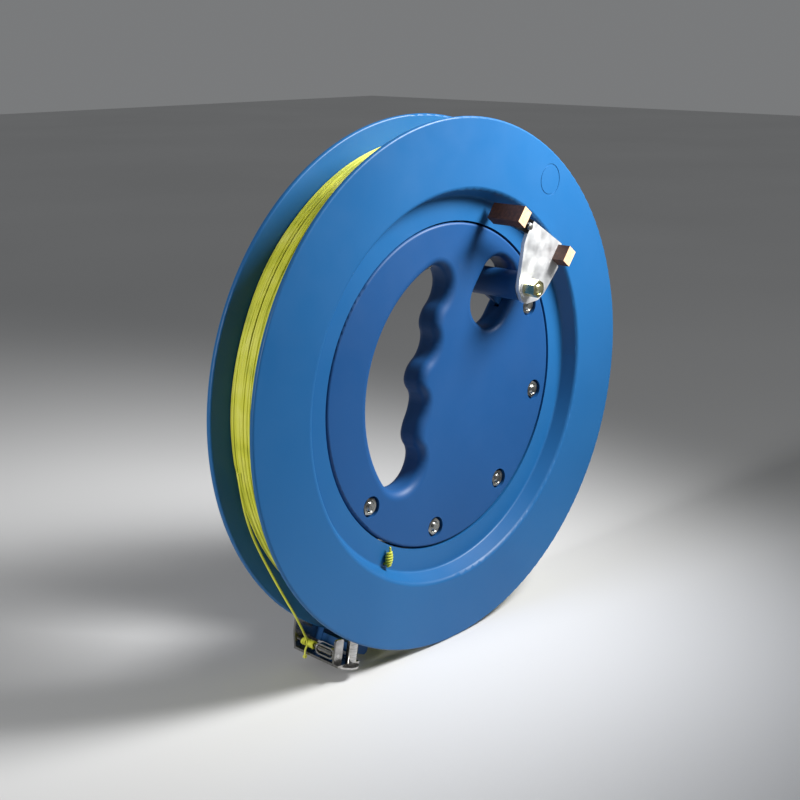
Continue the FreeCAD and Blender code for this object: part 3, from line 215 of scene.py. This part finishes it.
def rubber():
    """Tan brake rubber: the sides get a near-black brown as painted shade; the ends facing along Y keep the
    rubber's own pale tan.
    """
    material, tree, shader = new_material("brake_rubber")
    grit = noise(tree, 700.0, 4.0)
    # painted shade: the sides' near-black brown stands in for shade on the tan rubber; only faces turned
    # along Y show its own colour
    side = ramp(tree, grit.outputs["Fac"], ((0.3, (0.030, 0.010, 0.006)), (0.7, (0.085, 0.030, 0.016))))
    tan_end = ramp(tree, grit.outputs["Fac"], ((0.3, (0.70, 0.40, 0.22)), (0.7, (0.90, 0.60, 0.36))))
    facing = tree.nodes.new("ShaderNodeNewGeometry")
    parts = tree.nodes.new("ShaderNodeSeparateXYZ")
    tree.links.new(facing.outputs["True Normal"], parts.inputs["Vector"])
    along = add_node(tree, "ShaderNodeMath", operation="ABSOLUTE")
    tree.links.new(parts.outputs["Y"], along.inputs[0])
    choose = add_node(tree, "ShaderNodeMix", data_type="RGBA")
    tree.links.new(level(tree, along.outputs[0], 0.0, 1.0, 0.80, 0.95), choose.inputs["Factor"])
    tree.links.new(side, choose.inputs["A"])
    tree.links.new(tan_end, choose.inputs["B"])
    tree.links.new(choose.outputs["Result"], shader.inputs["Base Color"])
    shader.inputs["Roughness"].default_value = 0.62
    bump(tree, shader, ((grit.outputs["Fac"], 0.5, 0.00008),))
    return material


def line_material(name, dark, mid, light):
    """Braided synthetic line: the braid is drawn from the tube's own lengthwise map."""
    material, tree, shader = new_material(name)
    chart = tree.nodes.new("ShaderNodeUVMap")
    plaits = []
    for turn in (0.62, -0.62):
        mapping = add_node(tree, "ShaderNodeMapping")
        mapping.inputs["Rotation"].default_value = (0, 0, turn)
        tree.links.new(chart.outputs["UV"], mapping.inputs["Vector"])
        wave = add_node(tree, "ShaderNodeTexWave", Scale=0.55, Distortion=0.0)
        tree.links.new(mapping.outputs["Vector"], wave.inputs["Vector"])
        plaits.append(wave)
    braid = add_node(tree, "ShaderNodeMath", operation="MULTIPLY")
    for index, wave in enumerate(plaits):
        tree.links.new(wave.outputs["Fac"], braid.inputs[index])
    drift = noise(tree, 60.0, 3.0)
    colour = ramp(tree, drift.outputs["Fac"], ((0.30, dark), (0.52, mid), (0.72, light)))
    shade = add_node(tree, "ShaderNodeMix", data_type="RGBA", blend_type="MULTIPLY")
    shade.inputs["Factor"].default_value = 1.0
    tree.links.new(colour, shade.inputs["A"])
    tree.links.new(
        ramp(tree, braid.outputs[0], ((0.0, (0.80, 0.80, 0.62)), (0.6, (1, 1, 1)))), shade.inputs["B"],
    )
    tree.links.new(shade.outputs["Result"], shader.inputs["Base Color"])
    shader.inputs["Roughness"].default_value = 0.48
    shader.inputs["Sheen Weight"].default_value = 0.25
    shader.inputs["Sheen Roughness"].default_value = 0.4
    bump(tree, shader, ((braid.outputs[0], 0.5, 0.0001),))
    return material


def floor_material():
    material, tree, shader = new_material("pale_floor")
    drift = noise(tree, 2.0, 2.0)
    colour = ramp(tree, drift.outputs["Fac"], ((0.3, (0.60, 0.60, 0.60)), (0.7, (0.64, 0.64, 0.64))))
    tree.links.new(colour, shader.inputs["Base Color"])
    shader.inputs["Roughness"].default_value = 0.9
    return material


MATERIALS = {
    "spool": plastic("spool_blue", (0.010, 0.096, 0.262), (0.014, 0.116, 0.300), 0.42, 1500.0, 0.00003),
    "grip": plastic("grip_blue", (0.006, 0.058, 0.185), (0.009, 0.070, 0.215), 0.50, 1100.0, 0.00005),
    "plate": metal("zinc_plate", (0.80, 0.81, 0.82), (0.86, 0.87, 0.87), 0.52, 900.0, mottled=0.03),
    "fastener": metal("zinc_fastener", (0.20, 0.20, 0.19), (0.52, 0.52, 0.48), 0.24, 600.0, mottled=0.06),
    "yellow_zinc": metal("yellow_zinc", (0.50, 0.47, 0.22), (0.80, 0.77, 0.48), 0.24, 600.0, mottled=0.06),
    "stainless": metal("stainless", (0.26, 0.25, 0.24), (0.44, 0.43, 0.41), 0.20, 260.0, (1, 9, 1)),
    "steel": metal("polished_steel", (0.34, 0.33, 0.32), (0.58, 0.57, 0.55), 0.16, 420.0, (1, 1, 6)),
    "dark_steel": metal("dark_steel", (0.020, 0.020, 0.022), (0.055, 0.055, 0.060), 0.36, 500.0),
    "bronze": metal("bronze", (0.42, 0.26, 0.10), (0.60, 0.40, 0.18), 0.38, 700.0),
    "rubber": rubber(),
    "line": line_material("line_yellow", (0.50, 0.54, 0.030), (0.76, 0.77, 0.060), (0.90, 0.89, 0.20)),
    # painted shade: the yellow line darkened for the turns lying under the outer strands
    "line_painted_shade": line_material(
        "line_shadow", (0.13, 0.14, 0.012), (0.22, 0.23, 0.020), (0.34, 0.34, 0.034)
    ),
    "floor": floor_material(),
}

LOOKS = {
    "spool": ("spool_front_half", "spool_rear_half"),
    "grip": ("hub_front_shell", "hub_rear_shell", "guide_arm", "thumb_bar_front", "thumb_bar_rear",
             "brake_lever"),
    "plate": ("brake_plate_front", "brake_plate_rear", "brake_washers"),
    "fastener": ("spool_screws", "bracket_screws", "axle_pins", "brake_return_spring", "bearing_bushings"),
    "stainless": ("guide_bracket",),
    "steel": ("guide_bar", "guide_roller", "roller_eye", "guide_post", "bearing_inner_rings")
    + tuple(f"bearing_outer_{number}" for number in range(1, 7)),
    "dark_steel": ("pad_holder_front", "pad_holder_rear"),
    "bronze": ("brake_pivot_bush",),
    "rubber": tuple(
        f"brake_block_{side}_{place}" for side in ("front", "rear") for place in ("upper", "lower")
    ),
}
# Width of the rounded edge, and the nodes that get it.
SOFT_EDGES = {
    0.00045: LOOKS["rubber"] + ("brake_plate_front", "brake_plate_rear"),
    0.0003: ("guide_bracket", "guide_post", "roller_eye", "guide_bar", "guide_roller", "brake_washers"),
    0.0008: ("guide_arm", "thumb_bar_front", "thumb_bar_rear"),
}


def paint(piece, look):
    piece.data.materials.clear()
    piece.data.materials.append(MATERIALS[look])


def dress_nodes():
    for look, names in LOOKS.items():
        for name in names:
            paint(NODES[name], look)
    for width, names in SOFT_EDGES.items():
        for name in names:
            edge = NODES[name].modifiers.new("soft_edge", "BEVEL")
            edge.width = width
            edge.segments = 3
            edge.limit_method = "ANGLE"
            edge.angle_limit = math.radians(35)


# ---------------------------------------------------------------- mesh helpers

def add_piece(name, vertices, faces, look, body, replaced=(), uv=None, angle=35):
    mesh = bpy.data.meshes.new(name)
    mesh.from_pydata([tuple(v) for v in vertices], [], faces)
    if uv is not None:
        layer = mesh.uv_layers.new(name="UVMap")
        index = np.empty(len(mesh.loops), dtype=np.int32)
        mesh.loops.foreach_get("vertex_index", index)
        layer.data.foreach_set("uv", np.asarray(uv(index), dtype=np.float32).ravel())
    mesh.validate()
    piece = bpy.data.objects.new(name, mesh)
    bpy.context.scene.collection.objects.link(piece)
    mesh.materials.append(MATERIALS[look])
    mesh.shade_smooth()
    mesh.set_sharp_from_angle(angle=math.radians(angle))
    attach(piece, body)
    if replaced:
        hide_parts(*replaced)
    return piece


def loft(rings, offset=0, capped=True):
    """Vertices and faces through closed rings of the same number of points."""
    count = len(rings[0])
    vertices = [point for ring in rings for point in ring]
    faces = []
    for row in range(len(rings) - 1):
        for step in range(count):
            a = offset + row * count + step
            b = offset + row * count + (step + 1) % count
            faces.append((a, b, b + count, a + count))
    if capped:
        faces.append(tuple(offset + step for step in reversed(range(count))))
        last = offset + (len(rings) - 1) * count
        faces.append(tuple(last + step for step in range(count)))
    return vertices, faces


class Builder:
    """Collects several closed solids into one piece."""

    def __init__(self):
        self.vertices, self.faces = [], []

    def add(self, rings, capped=True):
        vertices, faces = loft(rings, len(self.vertices), capped)
        self.vertices += vertices
        self.faces += faces

    def finish(self, name, look, body, slot, replaced=()):
        return add_piece(name, self.vertices, self.faces, look, body, replaced)


RING_POINTS = 72


def ring_along_y(place, depth, radius_at, count=RING_POINTS):
    """A closed ring round an axis parallel to Y; radius_at takes an angle."""
    ring = []
    for step in range(count):
        angle = FULL_TURN * step / count
        radius = radius_at(angle)
        ring.append((place[0] + radius * math.cos(angle), depth, place[1] + radius * math.sin(angle)))
    return ring


def round_ring(place, depth, radius, count=RING_POINTS):
    return ring_along_y(place, depth, lambda angle: radius, count)


def hex_radius(apothem, angle):
    return apothem / math.cos((angle % (math.pi / 3)) - math.pi / 6)


def hex_rings(place, low, high, flats, low_chamfer, high_chamfer, bore=0.0, turn=0.0):
    """A hexagon's rings with the curved corner chamfers that turning leaves."""
    apothem = flats / 2
    face = apothem * 0.95
    chamfer_start = apothem * 0.97
    slope = math.tan(math.radians(30))
    rings = []

    def edge_ring(depth, sign, chamfered):
        ring = []
        for step in range(RING_POINTS):
            angle = FULL_TURN * step / RING_POINTS
            radius = hex_radius(apothem, angle + turn)
            drop = (radius - chamfer_start) * slope if chamfered else 0.0
            ring.append((
                place[0] + radius * math.cos(angle), depth + sign * max(drop, 0.0),
                place[1] + radius * math.sin(angle),
            ))
        return ring

    if low_chamfer:
        rings.append(round_ring(place, low, face))
    rings.append(edge_ring(low, 1, low_chamfer))
    rings.append(edge_ring(high, -1, high_chamfer))
    if high_chamfer:
        rings.append(round_ring(place, high, face))
    if bore:
        mouth, lead = bore * 1.18, bore * 0.22
        rings = (
            [round_ring(place, low + lead, bore), round_ring(place, low, mouth)]
            + rings
            + [round_ring(place, high, mouth), round_ring(place, high - lead, bore)]
        )
        rings.append(rings[0])
    return rings


THREAD_DEPTH = 0.00055
THREAD_POINTS = 48
TIP_LENGTH = 0.0011
TIP_SHARE = 0.72


def thread_rings(place, start, end, radius, pitch):
    """A threaded rod's rings between two depths, with a chamfered tip at start."""
    rows = max(8, int(abs(end - start) / (pitch / 8)))
    rings = []
    for row in range(rows + 1):
        along = start + (end - start) * row / rows
        tip = min(1.0, TIP_SHARE + abs(along - start) / TIP_LENGTH * (1 - TIP_SHARE))

        def radius_at(angle, along=along, tip=tip):
            phase = (along / pitch + angle / FULL_TURN) % 1.0
            groove = abs(2 * phase - 1)
            return min(radius * tip, radius - THREAD_DEPTH * (1 - groove))

        rings.append(ring_along_y(place, along, radius_at, THREAD_POINTS))
    return rings


def transport(points):
    """Frames that follow a path without twisting."""
    points = np.asarray(points, float)
    tangents = np.gradient(points, axis=0)
    tangents /= np.linalg.norm(tangents, axis=1)[:, None]
    first = np.cross(tangents[0], (0.3, 0.5, 0.8))
    normal = first / np.linalg.norm(first)
    normals = []
    for tangent in tangents:
        normal = normal - tangent * np.dot(normal, tangent)
        normal /= np.linalg.norm(normal)
        normals.append(normal)
    normals = np.array(normals)
    return points, normals, np.cross(tangents, normals)


TUBE_SIDES = 8
TUBE_END_SHARE = 0.35


def tube_parts(points, radius, offset):
    """A tube's vertices, faces and lengthwise map; its ends close to a soft point."""
    sides = TUBE_SIDES
    points, normals, others = transport(points)
    radii = np.full(len(points), radius)
    radii[0] = radii[-1] = radius * TUBE_END_SHARE
    turns = 2 * np.pi * np.arange(sides) / sides
    ring = (
        np.cos(turns)[None, :, None] * normals[:, None, :]
        + np.sin(turns)[None, :, None] * others[:, None, :]
    )
    vertices = (points[:, None, :] + radii[:, None, None] * ring).reshape(-1, 3)
    steps = np.linalg.norm(np.diff(points, axis=0), axis=1)
    along = np.concatenate([[0], np.cumsum(steps)]) / (2 * radius)
    chart = np.stack(np.broadcast_arrays(along[:, None], turns[None, :] / np.pi), axis=-1).reshape(-1, 2)
    rows = np.arange(len(points) - 1)[:, None] * sides + offset
    step = np.arange(sides)[None, :]
    following = (step + 1) % sides
    quads = np.stack(
        [rows + step, rows + following, rows + following + sides, rows + step + sides], axis=-1
    )
    faces = [tuple(q) for q in quads.reshape(-1, 4).tolist()]
    faces.append(tuple(offset + s for s in reversed(range(sides))))
    last = offset + (len(points) - 1) * sides
    faces.append(tuple(last + s for s in range(sides)))
    return vertices.tolist(), faces, chart


def tubes(name, paths, radius, look, body, replaced=()):
    """One piece made of a tube along each path."""
    vertices, faces, charts = [], [], []
    for path in paths:
        more, quads, chart = tube_parts(path, radius, len(vertices))
        vertices += more
        faces += quads
        charts.append(chart)
    chart = np.concatenate(charts)
    return add_piece(
        name, vertices, faces, look, body, replaced, uv=lambda index: chart[index], angle=60
    )


def smooth_path(points, per_span=12):
    """A Catmull-Rom path through points."""
    points = [np.asarray(p, float) for p in points]
    points = [2 * points[0] - points[1]] + points + [2 * points[-1] - points[-2]]
    path = []
    for a, b, c, d in zip(points, points[1:], points[2:], points[3:]):
        for step in range(per_span):
            t = step / per_span
            path.append(0.5 * (2 * b + (c - a) * t + (2 * a - 5 * b + 4 * c - d) * t ** 2
                               + (3 * b - a - 3 * c + d) * t ** 3))
    path.append(points[-2])
    return path


# ---------------------------------------------------------------- line

LINE_RADIUS = 0.56 * MM
BAR_RADIUS = 0.9 * MM

# The tail's route. Over the wound line: start angle in degrees, shares of the way round to where it
# leaves, radius of the points, radius of the surface it leaves, depth at the start and drift to the end.
ROUTE_START, ROUTE_SHARES = 188.0, (0.0, 0.34, 0.67, 1.0)
ROUTE_RADIUS, ROUTE_RIDE = 122.1 * MM, 121.6 * MM
ROUTE_DEPTH, ROUTE_DRIFT = 6.2, 4
# Past it: share of the straight run, outward bulge in mm, depth in mm. The run stops short of the bar.
ROUTE_RUN = ((0.42, 0.9, 10.9), (0.78, 0.3, 11.5), (1.0, 0.0, 14.6))
ROUTE_STOP = 2.3 * MM

BAR_TURNS, TURN_STEPS = 9, 20

# The wound line's outer surface: its radius, the drop at the flanges and its half width.
WOUND_RADIUS, WOUND_DROP, WOUND_HALF = 120.2 * MM, 2.6 * MM, 12.6 * MM
DRUM_RADIUS = 99.2 * MM
STRAND_STEPS = 96

# The inner knot, in mm across and up the wheel's face, and the hole its end goes into.
KNOT_DEPTH = -9.35 * MM
KNOT_TOP, KNOT_FOOT = Vector((-42.2, 0, -72.4)), Vector((-43.3, 0, -81.2))
KNOT_HOLE_RADIUS, KNOT_HOLE_ANGLE = 90.4 * MM, 240.9
KNOT_TURNS = 5.5


def polar(radius, angle, depth):
    turn = math.radians(angle)
    return (radius * math.cos(turn), depth, radius * math.sin(turn))


def middle_across(low, high):
    """The middle of a box, as seen along Y."""
    return (low[0] + high[0]) / 2, (low[2] + high[2]) / 2


def bar_axis():
    return middle_across(*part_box("line_wraps"))


def tail_route():
    """The tail's points: a stretch over the wound line, then straight to the guide bar."""
    bar = bar_axis()
    goal_radius = math.hypot(*bar)
    goal_angle = math.degrees(math.atan2(bar[1], bar[0])) % 360
    leave = goal_angle - math.degrees(math.acos(ROUTE_RIDE / goal_radius))
    points = []
    for share in ROUTE_SHARES:
        angle = ROUTE_START + share * (leave - ROUTE_START)
        points.append(polar(ROUTE_RADIUS, angle, (ROUTE_DEPTH + ROUTE_DRIFT * share) * MM))
    heading, outward = polar(1.0, leave + 90, 0.0), polar(1.0, leave, 0.0)
    touch = polar(ROUTE_RIDE, leave, 0.0)
    run = math.sqrt(goal_radius ** 2 - ROUTE_RIDE ** 2) - ROUTE_STOP
    for share, bulge, depth in ROUTE_RUN:
        points.append((
            touch[0] + share * run * heading[0] + bulge * MM * outward[0], depth * MM,
            touch[2] + share * run * heading[2] + bulge * MM * outward[2],
        ))
    return points


def line_tail():
    """The tight stretch of line from the wound line to the guide bar."""
    points = tail_route()
    curve = bpy.data.curves.new("line_tail_run", "CURVE")
    curve.dimensions = "3D"
    curve.bevel_depth = LINE_RADIUS
    curve.bevel_resolution = 3
    curve.resolution_u = 16
    spline = curve.splines.new("NURBS")
    spline.points.add(len(points) - 1)
    for knot, place in zip(spline.points, points):
        knot.co = (*place, 1)
    spline.order_u = 3
    spline.use_endpoint_u = True
    curve.use_fill_caps = True
    piece = bpy.data.objects.new("line_tail_run", curve)
    bpy.context.scene.collection.objects.link(piece)
    curve.materials.append(MATERIALS["line"])
    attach(piece, "hub")
    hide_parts("line_tail")
    return piece, points


def line_on_bar():
    """Turns of line round the guide bar, and the short knotted end beside the shelf."""
    bar = bar_axis()
    low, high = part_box("line_wraps")
    thin = 0.85 * LINE_RADIUS
    radius = BAR_RADIUS + thin
    path = []
    for step in range(BAR_TURNS * TURN_STEPS + 1):
        angle = FULL_TURN * step / TURN_STEPS
        share = step / (BAR_TURNS * TURN_STEPS)
        progress = share + 0.05 * math.sin(9 * share)
        depth = low[1] + 0.7 * MM + (high[1] - low[1] - 1.4 * MM) * progress
        lean = 0.45 * MM * math.sin(angle + 2.2 * math.sin(5 * share))
        reach = radius + 0.10 * MM * (1 + math.sin(17 * share))
        path.append((bar[0] + reach * math.cos(angle), depth + lean, bar[1] + reach * math.sin(angle)))
    wraps = tubes("line_turns_on_bar", [path], thin, "line", "hub", ("line_wraps",))
    end_low, end_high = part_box("line_end")
    side = end_low[0] + 1.25 * MM
    depth = (end_low[1] + end_high[1]) / 2
    drop = smooth_path([
        (end_high[0] - 0.4 * MM, depth + 0.3 * MM, bar[1]),
        (side + 0.5 * MM, depth + 0.2 * MM, bar[1] - 1.9 * MM),
        (side, depth, bar[1] - 3.7 * MM),
        (side, depth, end_low[2] + 1.5 * MM),
    ])
    knot = []
    middle = (side, depth, end_low[2] + 1.2 * MM)
    spread = 0.6 * MM
    for step in range(49):
        angle = FULL_TURN * step / 16
        knot.append((
            middle[0] + spread * math.cos(angle), middle[1] + 0.3 * MM * math.sin(angle * 1.5),
            middle[2] + spread * math.sin(angle),
        ))
    end = tubes(
        "line_loose_end", [drop, knot], LINE_RADIUS * 0.9, "line", "hub", ("line_end",)
    )
    return wraps, end


def wound_surface(depth):
    """The wound line's radius at a depth: nearly flat, lower towards the flanges."""
    edge = min(1.0, abs(depth) / WOUND_HALF)
    return WOUND_RADIUS - WOUND_DROP * edge ** 3


def strand_layer(rng, turns, lift, start_angle, sweep_turns):
    """One pass of the line round the drum, wandering between the flanges as it goes."""
    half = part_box("line_pack")[1][1] - 0.75 * MM
    waves = [
        (rng.uniform(0.12, 1.9), rng.uniform(0, 6.28), rng.uniform(0.25, 1.0) * MM) for _ in range(6)
    ]
    path = []
    for step in range(int(STRAND_STEPS * turns) + 1):
        turn = step / STRAND_STEPS
        sweep = (turn / sweep_turns) % 2.0
        sweep = sweep if sweep <= 1.0 else 2.0 - sweep
        depth = -half + 2 * half * sweep
        depth += sum(size * math.sin(FULL_TURN * rate * turn + phase) for rate, phase, size in waves)
        depth = max(-half, min(half, depth))
        slow = 0.22 * MM * math.sin(FULL_TURN * 0.31 * turn + 1.0)
        quick = 0.16 * MM * math.sin(FULL_TURN * 1.37 * turn)
        radius = wound_surface(depth) + lift + (slow + quick)
        path.append(polar(radius, start_angle - 360.0 * turn, depth))
    return path


def wound_line():
    """The line on the drum: three layers of turns and one strand by the rear flange, over a core in line
    colour darkened as painted shade.
    """
    rng = random.Random(11)
    lower = strand_layer(rng, 30, -0.62 * MM, 30.0, 15.0)
    middle = strand_layer(rng, 16, -0.20 * MM, 110.0, 5.3)
    outer = strand_layer(rng, 11, 0.12 * MM, 160.0, 4.1)
    edge = [
        polar(
            wound_surface(11.8 * MM) + 0.5 * MM, 10.0 + 3.0 * step,
            (11.9 + 0.25 * math.sin(0.6 * step)) * MM,
        )
        for step in range(61)
    ]
    tubes(
        "line_outer_turns", [lower, middle, outer, edge], LINE_RADIUS, "line", "spool",
        ("line_pack",),
    )
    wound_core()


def wound_core():
    """The ring under the separate turns, in line colour darkened as painted shade, rippled by one line's
    width.
    """
    low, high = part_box("line_pack")
    rows, count = 40, 240
    gap, width = 0.02 * MM, 1.15 * MM
    profile = [(low[1] + gap, DRUM_RADIUS)]
    for row in range(rows + 1):
        depth = low[1] + gap + (high[1] - low[1] - 2 * gap) * row / rows
        ripple = 0.16 * MM * math.cos(FULL_TURN * depth / width)
        profile.append((depth, wound_surface(depth) - width + ripple))
    profile.append((high[1] - gap, DRUM_RADIUS))
    rings = [round_ring((0, 0), depth, radius, count) for depth, radius in profile]
    rings.append(rings[0])
    vertices, faces = loft(rings, capped=False)
    add_piece("line_inner_turns", vertices, faces, "line_painted_shade", "spool", ("line_pack",))


def inner_knot():
    """The slip knot that ties the line's inner end: flat turns round its own two runs."""
    depth = KNOT_DEPTH
    top = KNOT_TOP * MM
    foot = KNOT_FOOT * MM
    axis = (foot - top).normalized()
    side = Vector((-axis.z, 0, axis.x))

    def at(down, across, proud):
        spot = top + axis * down * MM + side * across * MM
        return (spot.x, depth - proud * MM, spot.z)

    steps = int(KNOT_TURNS * TURN_STEPS)
    coil = []
    for step in range(steps + 1):
        angle = FULL_TURN * step / TURN_STEPS
        share = step / steps
        swell = math.sin(math.pi * (0.12 + 0.80 * share))
        wide, proud = 0.55 + 1.15 * swell, 0.45 + 0.75 * swell
        coil.append(at(0.6 + 7.0 * share, wide * math.cos(angle), proud * math.sin(angle)))
    stub = smooth_path([at(1.6, 0.25, 0.0), at(-0.4, 0.2, 0.1), at(-2.0, -0.1, 0.0)], 6)
    runs = [
        smooth_path([at(down, across, 0) for down in (1.0, 4.0, 7.2)], 6) for across in (-0.4, 0.4)
    ]
    hole = polar(KNOT_HOLE_RADIUS, KNOT_HOLE_ANGLE, depth)
    lead = smooth_path([
        at(6.4, 0.3, 0.1),
        at(7.9, -0.3, 0.0),
        (hole[0] + 0.1 * MM, depth + 0.3 * MM, hole[2] + 0.1 * MM),
        (hole[0], depth + 2.9 * MM, hole[2]),
    ], 6)
    tubes(
        "line_inner_knot", [coil, stub, *runs, lead], LINE_RADIUS * 1.05, "line", "spool",
        ("line_anchor_knot",),
    )


# ---------------------------------------------------------------- fasteners

# Slightly under the standard sizes, so that the detailed pieces stay inside the plain solids.
HEX_FLATS = 7.9 * MM
THREAD_RADIUS = 2.42 * MM
THREAD_PITCH = 0.8 * MM
NUT_BORE = 2.45 * MM
HEAD_HEIGHT = 3.5 * MM
RECESS_DEPTH = 3.4 * MM
HUB_NUT_TURNS = (0.25, 0.8, 0.1, 0.55, 0.4)
ARM_BOLT_COUNT = 2
PIVOT_BOLT = 4
# Rise above the face and radius, in mm, of the rings of a small domed screw.
DOME_RINGS = ((2.4, 1.7), (0.9, 1.8), (0.35, 1.6), (0.1, 1.1), (0.0, 0.5))


def bolt_spots():
    """Places of the hub's bolts: four through bearings and one through the brake's pivot."""
    spots = [JOINTS[f"bearing_{n}_spin"]["pos_m"] for n in range(1, 5)] + [JOINTS["brake_pivot"]["pos_m"]]
    return [(spot[0], spot[2]) for spot in spots]


def threaded_bolt(builder, spot, tip, thread_end, base, turn):
    """A bolt from its threaded tip to its head, which stands on the depth called base."""
    builder.add(thread_rings(spot, tip, thread_end, THREAD_RADIUS, THREAD_PITCH))
    builder.add([round_ring(spot, depth, THREAD_RADIUS, THREAD_POINTS) for depth in (thread_end, base)])
    builder.add(hex_rings(spot, base, base + HEAD_HEIGHT, HEX_FLATS, False, True, 0.0, turn))


def hub_fasteners():
    low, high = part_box("hub_nuts")
    arm_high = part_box("arm_bolts")[1][1]
    hub_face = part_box("hub_rear_shell")[1][1]
    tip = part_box("hub_bolts")[0][1]
    nuts, hub_bolts, arm_bolts = Builder(), Builder(), Builder()
    for number, spot in enumerate(bolt_spots()):
        turn = HUB_NUT_TURNS[number]
        nuts.add(hex_rings(spot, low[1], high[1], HEX_FLATS, True, False, NUT_BORE, turn), capped=False)
        target, base = hub_bolts, hub_face - RECESS_DEPTH
        if number < ARM_BOLT_COUNT:
            target, base = arm_bolts, arm_high - HEAD_HEIGHT
        elif number == PIVOT_BOLT:
            base = hub_face
        threaded_bolt(target, spot, tip, high[1] + 1.0 * MM, base, turn + 0.3)
    nuts.finish("hub_hex_nuts", "fastener", "hub", "plated_steel", ("hub_nuts",))
    hub_bolts.finish("hub_hex_bolts", "fastener", "hub", "plated_steel", ("hub_bolts",))
    arm_bolts.finish("arm_hex_bolts", "fastener", "hub", "plated_steel", ("arm_bolts",))


def brake_fasteners():
    low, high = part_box("brake_nut")
    bolt_low, bolt_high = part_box("brake_bolt")
    spot = middle_across(low, high)
    nut = Builder()
    nut.add(hex_rings(spot, low[1], high[1], HEX_FLATS, True, False, NUT_BORE, 0.5), capped=False)
    nut.finish("brake_lock_nut", "yellow_zinc", "brake", "yellow_zinc", ("brake_nut",))
    bolt = Builder()
    threaded_bolt(bolt, spot, bolt_low[1], high[1], bolt_high[1] - HEAD_HEIGHT, 0.2)
    bolt.finish("brake_hex_bolt", "yellow_zinc", "brake", "yellow_zinc", ("brake_bolt",))
    screws = Builder()
    low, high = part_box("pad_screws")
    spot = middle_across(low, high)
    for face, sign in ((low[1], 1), (high[1], -1)):
        screws.add([
            round_ring(spot, face + sign * rise * MM, radius * MM, 40) for rise, radius in DOME_RINGS
        ])
    screws.finish("pad_domed_screws", "fastener", "brake", "plated_steel", ("pad_screws",))


# ---------------------------------------------------------------- run

def build():
    tail, route = line_tail()
    wraps, end = line_on_bar()
    set_camera()
    set_lights()
    set_floor()
    dress_nodes()
    wound_line()
    inner_knot()
    hub_fasteners()
    brake_fasteners()


build()
